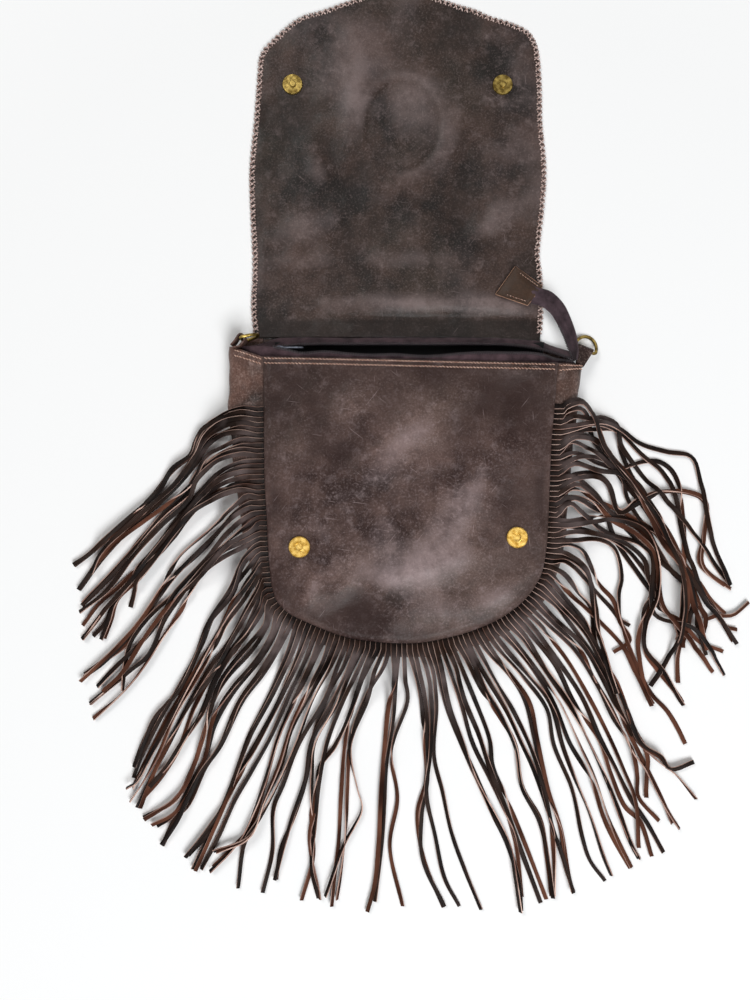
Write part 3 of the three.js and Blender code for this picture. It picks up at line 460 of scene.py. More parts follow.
def leather_material(name, dark, light, wear_and_sheen, rough=0.44, wrinkle=0.4):
    """Oiled leather: mottled, lightly scratched, with a fine grain and a waxy sheen; ridges painted lighter, part
    wear and part painted sheen, and hollows painted darker as painted shade.
    """
    made, tree, surface = new_material(name)
    place = node(tree, "TexCoord").outputs["Object"]
    clouds = noise(tree, place, 17, 6, 0.62)
    tint = noise(tree, place, 8, 2, 0.5)
    mottle = noise(tree, place, 90, 5, 0.7)
    speckle = noise(tree, place, 560, 3, 0.7)
    tone = mixed(tree, ranged(tree, clouds, 0.4, 0.62), dark, light)
    tone = mixed(tree, ranged(tree, tint, 0.45, 0.62, 0, 0.3), tone, GREENISH)
    tone = mixed(tree, ranged(tree, mottle, 0.54, 0.78, 0, 0.4), tone, wear_and_sheen)
    tone = mixed(tree, ranged(tree, mottle, 0.24, 0.46, 0.5, 0), tone, dark)
    tone = mixed(tree, ranged(tree, speckle, 0.52, 0.75, 0, 0.32), tone, wear_and_sheen)
    tone = mixed(tree, ranged(tree, speckle, 0.25, 0.48, 0.5, 0), tone, dark)
    # Painted light from the relief attribute: ridges painted lighter, part wear and part painted sheen; hollows
    # painted darker as painted shade.
    relief = node(tree, "Attribute", attribute_name="relief").outputs["Fac"]
    fray = noise(tree, place, 36, 7, 0.72)
    painted_sheen = product(tree, ranged(tree, relief, 0, 1, 0, 0.62), ranged(tree, fray, 0.34, 0.6, 0.3, 1))
    tone = mixed(tree, painted_sheen, tone, wear_and_sheen)
    tone = mixed(tree, ranged(tree, relief, -1, 0, 0.85, 0), tone, dark)
    marks = None
    for turn, scale in ((38, (34, 900, 34)), (-52, (46, 1100, 46)), (8, (40, 1000, 40)), (84, (52, 900, 52))):
        streak = noise(tree, stretched(tree, place, turn, scale), 1, 1, 0.5)
        mark = ranged(tree, streak, 0.75, 0.83)
        marks = mark if marks is None else product(tree, marks, mark, "MAXIMUM")
    tone = mixed(tree, product(tree, marks, 0.38), tone, wear_and_sheen)
    grain = node(tree, "TexVoronoi", {"Vector": place, "Scale": 850}).outputs["Distance"]
    soft = noise(tree, place, 42, 2, 0.45)
    fine = noise(tree, place, 300, 3, 0.6)
    normal = bumped(tree, soft, 0.005, wrinkle)
    normal = bumped(tree, fine, 0.0005, 0.4, normal)
    normal = bumped(tree, grain, 0.0003, 0.35, normal)
    normal = bumped(tree, marks, 0.0003, 0.15, normal)
    tree.links.new(tone, surface.inputs["Base Color"])
    tree.links.new(ranged(tree, mottle, 0.3, 0.75, rough - 0.1, rough + 0.14), surface.inputs["Roughness"])
    tree.links.new(normal, surface.inputs["Normal"])
    surface.inputs["Specular IOR Level"].default_value = 0.16
    surface.inputs["Coat Weight"].default_value = 0.06
    surface.inputs["Coat Roughness"].default_value = 0.3
    return made


def fringe_material():
    """Thongs: grain side, suede side and pale cut edges, told apart by the side attribute, with painted sheen and
    painted shade near the roots.
    """
    made, tree, surface = new_material("fringe_leather")
    side = node(tree, "Attribute", attribute_name="side").outputs["Fac"]
    lay = node(tree, "Attribute", attribute_name="lay").outputs["Vector"]
    streaks = noise(tree, stretched(tree, lay, 0, (1600, 26, 90)), 1, 3, 0.6)
    patches = noise(tree, stretched(tree, lay, 0, (60, 22, 700)), 1, 2, 0.5)
    grain = mixed(tree, ranged(tree, patches, 0.4, 0.66), shade(14, 7, 5), shade(42, 27, 20))
    grain = mixed(tree, ranged(tree, streaks, 0.5, 0.75, 0, 0.3), grain, shade(74, 58, 53))
    suede = mixed(tree, ranged(tree, patches, 0.35, 0.65), shade(42, 22, 15), shade(104, 66, 51))
    edge = mixed(tree, ranged(tree, streaks, 0.35, 0.65), shade(140, 104, 92), shade(224, 192, 178))
    along = node(tree, "SeparateXYZ", {0: lay}).outputs["Y"]
    # Painted sheen: a pale grey sheen painted on the grain side a little way out from the seam, in patches.
    painted_sheen = product(tree, ranged(tree, along, 0.008, 0.02), ranged(tree, along, 0.03, 0.1, 0.75, 0))
    shine = noise(tree, stretched(tree, node(tree, "TexCoord").outputs["Object"], 0, (24, 24, 4)), 1, 3, 0.6)
    painted_sheen = product(tree, painted_sheen, ranged(tree, shine, 0.42, 0.64))
    grain = mixed(tree, painted_sheen, grain, shade(112, 98, 96))
    tone = mixed(tree, ranged(tree, side, 0.2, 0.8), grain, suede)
    # Painted shade: each thong's first few millimetres, under the panel's edge, painted nearly black.
    tone = mixed(tree, ranged(tree, along, 0.0055, 0.0085, 0.8, 0), tone, shade(14, 9, 8))
    tone = mixed(tree, ranged(tree, side, 1.4, 1.8), tone, edge)
    fuzz = noise(tree, stretched(tree, lay, 0, (2600, 900, 900)), 1, 3, 0.7)
    normal = bumped(tree, streaks, 0.0006, 0.5)
    normal = bumped(tree, fuzz, 0.0003, 0.4, normal)
    tree.links.new(tone, surface.inputs["Base Color"])
    tree.links.new(ranged(tree, side, 0, 1, 0.4, 0.85), surface.inputs["Roughness"])
    surface.inputs["Specular IOR Level"].default_value = 0.07
    tree.links.new(normal, surface.inputs["Normal"])
    return made


def cloth_material(name, dark, light, ribs=1500, rough=0.8):
    """A woven tape or lining: fine ribs both ways."""
    made, tree, surface = new_material(name)
    place = node(tree, "TexCoord").outputs["Object"]
    ribbing = {"Vector": place, "Scale": ribs / 6.28, "Distortion": 0.4}
    warp = node(tree, "TexWave", ribbing, bands_direction="X").outputs["Fac"]
    weft = node(tree, "TexWave", ribbing, bands_direction="Y").outputs["Fac"]
    weave = product(tree, warp, weft)
    dust = noise(tree, place, 90, 3)
    tree.links.new(mixed(tree, ranged(tree, dust, 0.35, 0.7), dark, light), surface.inputs["Base Color"])
    tree.links.new(bumped(tree, weave, 0.0003, 0.6), surface.inputs["Normal"])
    surface.inputs["Roughness"].default_value = rough
    surface.inputs["Sheen Weight"].default_value = 0.1
    surface.inputs["Specular IOR Level"].default_value = 0.15
    return made


def thread_material(name, dark, light):
    """Waxed thread, twisted."""
    made, tree, surface = new_material(name)
    place = node(tree, "TexCoord").outputs["Object"]
    ply = noise(tree, place, 700, 2)
    tree.links.new(mixed(tree, ranged(tree, ply, 0.35, 0.65), dark, light), surface.inputs["Base Color"])
    tree.links.new(bumped(tree, ply, 0.0003, 0.5), surface.inputs["Normal"])
    surface.inputs["Roughness"].default_value = 0.55
    surface.inputs["Specular IOR Level"].default_value = 0.25
    return made


def metal_material(name, dark, light, rough, scratch=0.5):
    """Plated metal with patches of wear and fine scratches."""
    made, tree, surface = new_material(name)
    place = node(tree, "TexCoord").outputs["Object"]
    rub = noise(tree, place, 260, 4, 0.6)
    lines = noise(tree, stretched(tree, place, 40, (160, 3200, 160)), 1, 2)
    tree.links.new(mixed(tree, ranged(tree, rub, 0.38, 0.66), dark, light), surface.inputs["Base Color"])
    tree.links.new(ranged(tree, lines, 0.35, 0.7, rough - 0.08, rough + 0.16), surface.inputs["Roughness"])
    tree.links.new(bumped(tree, lines, 0.0002, scratch), surface.inputs["Normal"])
    surface.inputs["Metallic"].default_value = 1
    return made


def plastic_material(name, tone):
    made, tree, surface = new_material(name)
    place = node(tree, "TexCoord").outputs["Object"]
    dust = noise(tree, place, 400, 3)
    tree.links.new(ranged(tree, dust, 0.3, 0.7, 0.3, 0.5), surface.inputs["Roughness"])
    surface.inputs["Base Color"].default_value = tone
    return made


MATERIALS = {
    "oiled_leather": leather_material(
        "oiled_leather_look", shade(36, 18, 14), shade(106, 84, 78), shade(176, 156, 156)
    ),
    "flap_inside": leather_material(
        "flap_inside_look", shade(14, 7, 4), shade(68, 52, 46), shade(138, 122, 120)
    ),
    "gusset_leather": leather_material(
        "gusset_leather_look", shade(38, 20, 16), shade(112, 82, 72), shade(190, 166, 158), rough=0.36
    ),
    "tab_leather": leather_material(
        "tab_leather_look", shade(30, 19, 12), shade(56, 38, 26), shade(84, 62, 48), rough=0.5, wrinkle=0.2
    ),
    "raw_edge": leather_material(
        "raw_edge_look", shade(120, 86, 70), shade(172, 134, 112), shade(204, 170, 150), rough=0.8, wrinkle=0.1
    ),
    "fringe_suede": fringe_material(),
    "zip_cloth": cloth_material("zip_cloth_look", shade(44, 32, 35), shade(86, 67, 72)),
    "tail_cloth": cloth_material("tail_cloth_look", shade(44, 33, 37), shade(84, 68, 74)),
    "lining_cloth": cloth_material("lining_cloth_look", shade(8, 8, 9), shade(18, 17, 19), ribs=2200, rough=0.85),
    "coil_nylon": plastic_material("coil_nylon_look", shade(48, 40, 44)),
    "copper_thread": thread_material("copper_thread_look", shade(150, 108, 90), shade(224, 190, 172)),
    "lace_thread": thread_material("lace_thread_look", shade(104, 74, 64), shade(226, 202, 194)),
    "bright_brass": metal_material("bright_brass_look", shade(168, 126, 48), shade(232, 196, 112), 0.3, 0.2),
    "antique_brass": metal_material("antique_brass_look", shade(84, 68, 32), shade(158, 136, 76), 0.34, 0.3),
    "plated_steel": metal_material("plated_steel_look", shade(58, 60, 66), shade(104, 108, 118), 0.35, 0.3),
}


def dress(obj, look):
    obj.data.materials.clear()
    obj.data.materials.append(MATERIALS[look])
    return obj


# ---- The bag's leather body --------------------------------------------------

def joined(left, middle, right):
    """One line down or up the left side, along the middle and back on the right side."""
    return np.vstack([smooth_curve(left), smooth_curve(middle)[1:], smooth_curve(right)[::-1][1:]])


SEAM = joined(PANEL_LEFT, PANEL_BOTTOM, PANEL_RIGHT)
PANEL_RIM = np.vstack([SEAM, smooth_curve(PANEL_TOP)[::-1][1:]])
BACK_SEAM = joined(BACK_LEFT, BACK_BOTTOM, BACK_RIGHT)
FLAP_RIM = joined(FLAP_LEFT, FLAP_TOP, FLAP_RIGHT)
SOCKETS = [(-93.8, -39.7), (90, -31.7)]
STUDS = [(-102.3, 363.8), (81.7, 363.5)]

# Start, end, width and height of each fold in the front panel
PANEL_FOLDS = [
    ((-92, -94), (-78, -64), 8, 2.4),
    ((-72, -80), (56, -44), 12, 3.4),
    ((-66, -98), (-30, -64), 9, -1.6),
    ((-10, -100), (60, -88), 10, 1.6),
    ((20, -50), (60, 22), 14, 1.9),
    ((-60, 24), (-30, 84), 12, -1.5),
    ((-100, 30), (-84, 90), 9, 1.3),
    ((-20, 30), (20, 76), 13, 1.8),
    ((40, 70), (104, 96), 10, -1.2),
    ((-95, 83), (0, 80), 1.2, -0.35),
    ((104, -60), (60, -92), 9, 2.0),
]

# Start, end, width and height of each fold in the flap
FLAP_FOLDS = [
    ((-100, 160), (114, 160), 4.0, -1.6),
    ((-70, 173), (112, 171), 8, 3.2),
    ((-128, 206), (70, 214), 7, 1.2),
    ((40, 222), (112, 268), 9, 1.7),
    ((-118, 232), (-20, 262), 10, 1.3),
    ((-56, 296), (-46, 376), 9, 1.7),
    ((30, 292), (44, 350), 9, 1.6),
    ((-84, 330), (-78, 262), 9, 1.3),
    ((-110, 318), (-70, 345), 7, -1.0),
    ((60, 330), (104, 305), 7, -1.1),
]


def panel_height(x, y):
    """The front panel's soft padding, with the folds that show as bands of light."""
    h = 1.5 * rumple(x, y, 42, 3) + 0.75 * rumple(x, y, 20, 4) + 0.22 * rumple(x, y, 8.5, 5)
    h += 2.2 * (1 - np.clip(np.hypot((x + 5) / 130, (y - 5) / 130), 0, 1) ** 2)
    for fold in PANEL_FOLDS:
        h += crease(x, y, *fold)
    for sx, sy in SOCKETS:
        h += (0.75 - h) * np.exp(-((np.hypot(x - sx, y - sy) / 14) ** 4))
    return h


def front_panel():
    across, up = crowded(118), crowded(112)
    bottom, top = smooth_curve(PANEL_BOTTOM), smooth_curve(PANEL_TOP)
    left, right = smooth_curve(PANEL_LEFT)[::-1], smooth_curve(PANEL_RIGHT)[::-1]
    xy = patch(bottom, right, top, left, across, up)
    x, y = xy[..., 0], xy[..., 1]
    inside = edge_distance(xy, PANEL_RIM)
    roll = 1 - np.clip(inside / EDGE_ROLL, 0, 1)
    drop = EDGE_DROP * (1 - np.sqrt(1 - roll**2))
    at_top = np.clip(1 - edge_distance(xy, smooth_curve(PANEL_TOP)) / 14, 0, 1)
    top_z = PANEL_Z + panel_height(x, y) * (1 - roll) - drop * (1 - 0.45 * at_top)
    under_z = np.minimum(top_z - 0.9, 28.2 - 1.6 * roll)
    under_z = np.where(inside < 0.01, top_z - 0.6, np.maximum(under_z, 27.0 - 0.9 * roll))
    made = shell("front_panel_leather", np.dstack([xy, top_z]), np.dstack([xy, under_z]))
    # Relief for the material: folds painted lighter, part wear and part painted sheen; valleys and the rolled edge
    # painted darker as painted shade.
    mark_relief(made, np.clip((panel_height(x, y) - 2.2) / 3, -1, 1) * (1 - roll) - 0.25 * roll)
    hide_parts("front_panel")
    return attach(dress(made, "oiled_leather"), "bag")


def back_panel():
    across, up = crowded(60), crowded(64)
    bottom = smooth_curve(BACK_BOTTOM)
    top = smooth_curve([(-131, 141.4), (-60, 141.6), (50, 141.5), (108, 138.6), (119, 137.4)])
    xy = patch(bottom, smooth_curve(BACK_RIGHT)[::-1], top, smooth_curve(BACK_LEFT)[::-1], across, up)
    swell = 0.18 * rumple(xy[..., 0], xy[..., 1], 40, 8)
    under = np.clip(0.12 + swell, 0, 1)
    made = shell("back_panel_leather", np.dstack([xy, under + LEATHER]), np.dstack([xy, under]), 40)
    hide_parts("back_panel")
    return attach(dress(made, "oiled_leather"), "bag")


def outward(curve):
    """The level direction that points away from the bag at each point of the seam."""
    along = np.gradient(curve, axis=0)
    along /= np.linalg.norm(along, axis=1, keepdims=True)
    return np.stack([along[:, 1], -along[:, 0]], -1)


def gusset_grid():
    """Rows of points round the seam, each from the front seam over the fold to the back seam."""
    stations = np.linspace(0, 1, 260)
    front = at_shares(SEAM, stations)
    back = at_shares(BACK_SEAM, stations)
    away = outward(front)
    reach = np.interp(stations, [0, 0.08, 0.2, 0.35, 0.65, 0.82, 0.92, 1], [27, 29.5, 25, 14, 14, 18, 23, 26])
    fold = (front + back) / 2 + away * reach[:, None]
    fold[:, 1] += 0.4 * np.exp(-stations / 0.03) - 9 * np.exp(-((1 - stations) / 0.03))
    fold += away * (0.3 * np.sin(stations * 190) + 0.4 * np.sin(stations * 83 + 1))[:, None]
    lobe = 5 * np.exp(-stations / 0.02)
    rows = []
    for i in range(len(stations)):
        f, m, b, a = front[i], fold[i], back[i], away[i]
        puff = 1.9 * math.sin(stations[i] * 150) + 1.2 * math.sin(stations[i] * 67 + 0.6)
        points = [
            (*(f - 3 * a), 23.4),
            (*(f + 0.4 * a), 23.6),
            (*(f + 0.3 * (m - f)), 23.6 - 0.5 * puff),
            (*(f + 0.62 * (m - f)), 21.6 + 0.6 * puff),
            (*(m - 1.5 * a), GUSSET_FOLD_Z + 3.2),
            (*m, GUSSET_FOLD_Z),
            (*(m - 1.5 * a), GUSSET_FOLD_Z - 3.2),
            (*(b + 0.78 * (m - b) + [0, 0.2 * lobe[i]]), 6.4 - 0.3 * lobe[i]),
            (*(b + 0.5 * (m - b) + [0, lobe[i]]), 4.3 - 0.18 * lobe[i] - 0.1 * puff),
            (*(b + 0.4 * a), 2.6),
            (*(b - 3 * a), 2.6),
        ]
        rows.append(at_shares(smooth_curve(points, 5), np.linspace(0, 1, 30)))
    return np.array(rows)


def gusset():
    made = thickened("gusset_strip", gusset_grid(), LEATHER, 50)
    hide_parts("gusset")
    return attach(dress(made, "gusset_leather"), "bag")


def lining():
    """One piece of black cloth, folded at the bottom and sewn to both zip tapes."""
    front = [(108, 24.6), (60, 25.4), (0, 25.6), (-60, 25.2), (-96, 22), (-108, 14)]
    back = [(-96, 5.4), (-60, 3.6), (0, 3.2), (60, 3.2), (120, 3.2), (137, 3.4)]
    profile = at_shares(smooth_curve(front + back), np.linspace(0, 1, 80))
    across = np.linspace(-1, 1, 60)
    grid = np.zeros((80, 60, 3))
    pinch = 1 - np.abs(across) ** 8
    half = np.interp(profile[:, 0], [-108, -60, 110, 137], [70, 104, 113, 117])
    grid[..., 0] = half[:, None] * across[None]
    grid[..., 1] = profile[:, :1]
    grid[..., 2] = 14 + (profile[:, 1:] - 14) * (0.25 + 0.75 * pinch[None])
    grid[..., 2] += 0.4 * rumple(grid[..., 0], grid[..., 1], 18, 12)
    made = thickened("lining_pouch", grid, 0.5)
    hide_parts("lining")
    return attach(dress(made, "lining_cloth"), "bag")


# ---- The flap -------------------------------------------------------------------

def flap_swell(x, y):
    """The flap's soft wrinkles, with the crease where it turns over the mouth."""
    h = 1.5 * rumple(x, y, 50, 21) + 1.0 * rumple(x, y, 24, 22) + 0.3 * rumple(x, y, 9.5, 23)
    for fold in FLAP_FOLDS:
        h += crease(x, y, *fold)
    ring = np.hypot((x + 6) / 37, (y - 328) / 44)
    h += 0.7 * np.exp(-(((ring - 1) / 0.08) ** 2)) - 0.6 * np.exp(-(((ring - 0.86) / 0.06) ** 2))
    h = np.maximum(h, -1.7)
    for sx, sy in STUDS:
        h -= (0.35 + h) * np.exp(-((np.hypot(x - sx, y - sy) / 13) ** 4))
    return h


def flap_top_z(x, y, inside):
    soft = np.clip(inside / 9, 0, 1)
    round_over = 1.5 * (1 - np.sqrt(1 - (1 - np.clip(inside / 1.8, 0, 1)) ** 2))
    return 3.3 + 0.7 * soft + flap_swell(x, y) * soft - round_over


def flap():
    across, up = crowded(122), crowded(150, 0.2)
    left, right = smooth_curve(FLAP_LEFT), smooth_curve(FLAP_RIGHT)
    base = smooth_curve([left[0], (-60, 142.3), (50, 142.2), right[0]])
    xy = patch(base, right, smooth_curve(FLAP_TOP), left, across, up)
    inside = edge_distance(xy, FLAP_RIM)
    top_z = flap_top_z(xy[..., 0], xy[..., 1], inside)
    under = np.clip(top_z - 3.1, 0.12, 9)
    under = np.where(inside < 0.01, np.minimum(under, 1.0), under)
    made = shell("flap_laced_leather", np.dstack([xy, top_z]), np.dstack([xy, under]))
    # Painted shade: the band between the mouth and the crease is painted darker through the relief attribute.
    folded = np.clip((160 - xy[..., 1]) / 4, 0, 1)
    mark_relief(made, np.clip(flap_swell(xy[..., 0], xy[..., 1]) / 3, -1, 1) * (1 - folded) - 0.85 * folded)
    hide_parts("flap_outer", "flap_lining")
    return flap_bend(dress(made, "flap_inside"))


def flap_bend(obj):
    """Bakes the object's transform into its mesh."""
    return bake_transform(obj)


def whip_stitch():
    """Crossed whip stitches over the flap's edge, both ways round it."""
    length = travel(FLAP_RIM)[-1]
    count = round((length - 6) / WHIP_PITCH)
    places = 3 + np.arange(count) * WHIP_PITCH
    rim = at_travel(FLAP_RIM, places)
    away = outward(at_travel(FLAP_RIM, places))
    away *= np.where(((rim + away * 2 - [-9, 290]) ** 2).sum(1) > ((rim - [-9, 290]) ** 2).sum(1), 1, -1)[:, None]
    along = np.stack([-away[:, 1], away[:, 0]], -1)
    pieces = Pieces()
    random = np.random.default_rng(5)
    for i in range(count):
        wobble = random.normal(0, 0.25, 4)
        for slant, radius in ((-1, 0.5), (1, 0.78)):
            start = rim[i] - away[i] * (3.4 + wobble[0]) - along[i] * slant * (1.6 + wobble[1])
            end = rim[i] + along[i] * slant * (1.6 + wobble[2])
            top = float(flap_top_z(start[0], start[1], np.array(3.3)))
            over = [
                (*start, top - 0.6),
                (*(start * 0.85 + end * 0.15), top + radius - 0.2),
                (*(start * 0.4 + end * 0.6), 3.3 + radius / 2),
                (*(end + away[i] * 0.4), 2.9),
                (*(end + away[i] * 0.9), 1.8),
                (*(end + away[i] * 0.4), 0.6),
                (*(end - away[i] * 2.5), 0.35),
            ]
            pieces.add(*tube_parts(smooth_curve(over, 2), radius, 5))
    made = pieces.build("flap_whip_stitch")
    return flap_bend(dress(made, "lace_thread"))


# ---- The fringe -------------------------------------------------------------------

# A thong's cross section, from -1 to 1 in width and thickness, and the side that each stretch of it shows
THONG_CROSS = np.array([
    (-1, -1), (-0.5, -1), (0, -1), (0.5, -1), (1, -1), (1, 1), (0.5, 1), (0, 1), (-0.5, 1), (-1, 1),
])
THONG_SIDES = [SUEDE] * 4 + [EDGE] + [GRAIN] * 4 + [EDGE]

# Shares of the thongs that make a half turn, on the right and elsewhere
TURNED_RIGHT = 0.65
TURNED_LEFT = 0.4

# How high a thong lies at each distance out from the seam: over the gusset's fold and down to the ground
REST_OUT = [0, 2.5, 8, 18, 27, 38, 52]
REST_Z = [23.6, 24.5, 24.9, 21.5, 15.5, 5, 1.3]

# The map of heights on which the thongs settle, in millimetres
PILE_SIZE = (700, 560)
PILE_ORIGIN = (350, 420)


def seam_ends(left_y, right_y):
    """How far along the seam these heights are, on its left and on its right side."""
    way, left, right = travel(SEAM), len(SEAM) // 3, len(SEAM) * 2 // 3
    left_end = np.interp(left_y, SEAM[:left][::-1, 1], way[:left][::-1])
    return left_end, np.interp(right_y, SEAM[right:, 1], way[right:])


def thong_routes():
    """Level routes of all thongs, each sampled every few millimetres."""
    way = travel(SEAM)
    left_end, right_end = seam_ends(77.3, 80)
    count = round((right_end - left_end) / THONG_PITCH) + 1
    places = np.linspace(left_end, right_end, count)
    bases = at_travel(SEAM, places)
    away = at_travel(np.column_stack([SEAM, outward(SEAM)]), places)[:, 2:]
    starts = []
    for row in THONG_WAYS:
        starts.append(way[np.argmin(((SEAM - np.array(row[:2])) ** 2).sum(1))])
    starts = np.maximum.accumulate(starts)
    random = np.random.default_rng(11)
    routes = []
    for i in range(count):
        nearest = int(np.argmin(np.abs(starts - places[i])))
        guide = np.array(THONG_WAYS[nearest], float).reshape(-1, 2)
        shift = bases[i] - guide[0]
        share = np.linspace(0, 1, len(guide))[:, None]
        loose = random.normal(0, 1.1, guide.shape) * np.clip(share * 3, 0, 1)
        guide = guide + shift * (1 - share) ** 2 + loose
        points = np.vstack([bases[i] - away[i] * 5, bases[i] + away[i] * 2, bases[i] + away[i] * 7, guide[1:]])
        curve = smooth_curve(points, 10)
        length = min(travel(curve)[-1], THONG_LONGEST + random.uniform(-6, 6))
        routes.append(at_travel(curve, np.linspace(0, length, THONG_STEPS)))
    return routes


def blurred(values, reach):
    kernel = np.exp(-np.linspace(-2, 2, 2 * reach + 1) ** 2)
    padded = np.pad(values, reach, mode="edge")
    return np.convolve(padded, kernel / kernel.sum(), "valid")


def widest(values, reach):
    padded = np.pad(values, reach, mode="edge")
    return np.max([padded[k:k + len(values)] for k in range(2 * reach + 1)], axis=0)


def settled_heights(routes):
    """Each thong lies on the gusset's fold, then on the ground and on the thongs laid before it."""
    pile = np.zeros(PILE_SIZE)
    disc = [(i, j) for i in range(-2, 3) for j in range(-2, 3) if i * i + j * j <= 5]
    order = np.random.default_rng(2).permutation(len(routes))
    heights = [None] * len(routes)
    for index in order:
        route = routes[index]
        dense = at_shares(route, np.linspace(0, 1, 260))
        gap = edge_distance(dense, SEAM[::6])
        gap[:5] = 0
        rest = np.interp(gap, REST_OUT, REST_Z)
        ix = np.clip((dense[:, 0] + PILE_ORIGIN[0]).astype(int), 3, PILE_SIZE[0] - 4)
        iy = np.clip((dense[:, 1] + PILE_ORIGIN[1]).astype(int), 3, PILE_SIZE[1] - 4)
        under = np.max([pile[ix + i, iy + j] for i, j in disc], axis=0)
        lifted = np.maximum(rest, np.where(gap > 9, under, 0))
        lifted = np.maximum(blurred(widest(lifted, 4), 7), rest)
        lifted = np.where(gap < 9, rest + (lifted - rest) * gap / 9, lifted)
        for i, j in disc:
            np.maximum.at(pile, (ix + i, iy + j), lifted + 1.25)
        heights[index] = np.interp(np.linspace(0, 1, THONG_STEPS), np.linspace(0, 1, 260), lifted)
    return heights


def thong_roll(random, steps, base_roll, turned):
    """How a thong turns about its own length: slow waves, and for some a half turn."""
    t = np.linspace(0, 1, steps)
    waves = 0.42 * np.sin(t * random.uniform(4, 9) + random.uniform(0, 6.3))
    waves += 0.28 * np.sin(t * random.uniform(11, 20) + random.uniform(0, 6.3))
    roll = waves * np.clip(t * 7 - 0.6, 0, 1)
    if random.random() < turned:
        middle, width = random.uniform(0.15, 0.75), random.uniform(0.04, 0.09)
        roll = roll + random.choice([-1, 1]) * math.pi / (1 + np.exp(-(t - middle) / width * 2.2))
    if random.random() < 0.25:
        roll = roll + random.choice([-1, 1]) * 0.9 * np.clip(t * 6 - 0.6, 0, 1)
    return roll + base_roll * np.interp(t, [0, 0.04, 0.12, 0.4], [0.3, 1, 1, 0])


def thong_frame(route, height, roll):
    """The middle line of a thong, with the directions of its side and of its upper face."""
    centre = np.column_stack([route, height + THONG_THICKNESS / 2])
    centre[:, 2] += np.abs(np.sin(roll)) * THONG_WIDTH * 0.38
    along = np.gradient(centre, axis=0)
    along /= np.linalg.norm(along, axis=1, keepdims=True)
    level = np.cross(along, [0, 0, 1])
    level /= np.linalg.norm(level, axis=1, keepdims=True)
    rise = np.cross(level, along)
    side = level * np.cos(roll)[:, None] + rise * np.sin(roll)[:, None]
    top = rise * np.cos(roll)[:, None] - level * np.sin(roll)[:, None]
    return centre, side, top


def thong_points(random, centre, side, top):
    """Rings of points along a thong, which is a little cupped and of uneven width."""
    t = np.linspace(0, 1, THONG_STEPS)
    half = THONG_WIDTH / 2 * random.uniform(0.86, 1.08) * (1 + 0.06 * np.sin(t * 23 + random.uniform(0, 6)))
    half = half * np.interp(t, [0, 0.06, 0.12, 1], [1.14, 1.14, 1, 0.93])
    cup = random.uniform(-0.35, 0.5)
    ring = []
    for a, b in THONG_CROSS:
        lift = b * THONG_THICKNESS / 2 + cup * (1 - a * a)
        ring.append(centre + side * (a * half)[:, None] + top * lift)
    return np.stack(ring, 1).reshape(-1, 3)


def fringe():
    routes = thong_routes()
    heights = settled_heights(routes)
    random = np.random.default_rng(7)
    pieces = Pieces()
    sides, lays = [], []
    corners = len(THONG_CROSS)
    faces = grid_faces(THONG_STEPS, corners, closed=True)[:, ::-1].tolist()
    faces += [list(range(corners)), [(THONG_STEPS - 1) * corners + k for k in range(corners)][::-1]]
    for route, height in zip(routes, heights):
        turned = TURNED_RIGHT if route[0, 0] > 90 else TURNED_LEFT
        roll = thong_roll(random, THONG_STEPS, 0.5, turned)
        centre, side, top = thong_frame(route, height, roll)
        pieces.add(thong_points(random, centre, side, top), faces)
        sides += THONG_SIDES * (THONG_STEPS - 1) + [EDGE, EDGE]
        lay = np.zeros((THONG_STEPS, corners, 3))
        lay[..., 0] = THONG_CROSS[:, 0][None] * 0.002
        lay[..., 1] = (travel(centre) * MM)[:, None]
        lay[..., 2] = random.uniform(0, 1)
        lays.append(lay.reshape(-1, 3))
    add_header(pieces, sides, lays)
    made = pieces.build("fringe_thongs", 35)
    mark(made, "side", "FLOAT", "FACE", sides)
    mark(made, "lay", "FLOAT_VECTOR", "POINT", np.concatenate(lays))
    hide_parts("fringe")
    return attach(dress(made, "fringe_suede"), "bag")


def add_header(pieces, sides, lays):
    """The uncut band of the fringe, sewn in under the front panel's edge."""
    places = np.linspace(*seam_ends(78, 81), 240)
    both = at_travel(np.column_stack([SEAM, outward(SEAM)]), places)
    seam, away = both[:, :2], both[:, 2:]
    rows = [np.column_stack([seam + away * d, np.full(len(seam), z)]) for d, z in ((-7, 25), (-2, 25), (1.2, 24.4))]
    top = np.stack(rows, 1)
    points, faces = shell_parts(top + [0, 0, 0.5], top - [0, 0, 0.5])
    pieces.add(points, faces)
    sides += [GRAIN] * len(faces)
    # Painted shade: the lay length stays 0 here, so the material paints the whole band nearly black.
    lay = np.zeros((len(points), 3))
    lay[:, 0] = np.tile(np.linspace(0, 0.002, 3), len(points) // 3)
    lays.append(lay)


def mark(obj, name, kind, domain, values):
    """Values on points or faces that the materials read."""
    attribute = obj.data.attributes.new(name, kind, domain)
    field = "vector" if kind == "FLOAT_VECTOR" else "value"
    attribute.data.foreach_set(field, np.asarray(values, np.float32).ravel())


def mark_relief(obj, top_values):
    """Ridges painted lighter, part wear and part painted sheen, and hollows painted darker as painted shade: values
    from -1 to 1 on the upper grid.
    """
    mark(obj, "relief", "FLOAT", "POINT", np.concatenate([top_values.ravel(), np.zeros(top_values.size)]))


# ---- Stitching on the body ----------------------------------------------------------

def stitches_along(pieces, line, pitch, length, radius, slant, random):
    """Short slanted stitches that sink into the leather at both ends."""
    whole = travel(line)[-1]
    for place in np.arange(pitch / 2, whole - pitch / 2, pitch):
        a, b = at_travel(line, [place - length / 2, place + length / 2])
        d = (b - a) / np.linalg.norm(b - a)
        side = np.cross(d, [0, 0, 1]) * slant * random.uniform(0.7, 1.3)
        points = [a - side - [0, 0, 0.35], a * 0.75 + b * 0.25 - side * 0.6 + [0, 0, 0.2]]
        points += [a * 0.25 + b * 0.75 + side * 0.6 + [0, 0, 0.2], b + side - [0, 0, 0.35]]
        pieces.add(*tube_parts(points, [radius * 0.8, radius, radius, radius * 0.8], 6))


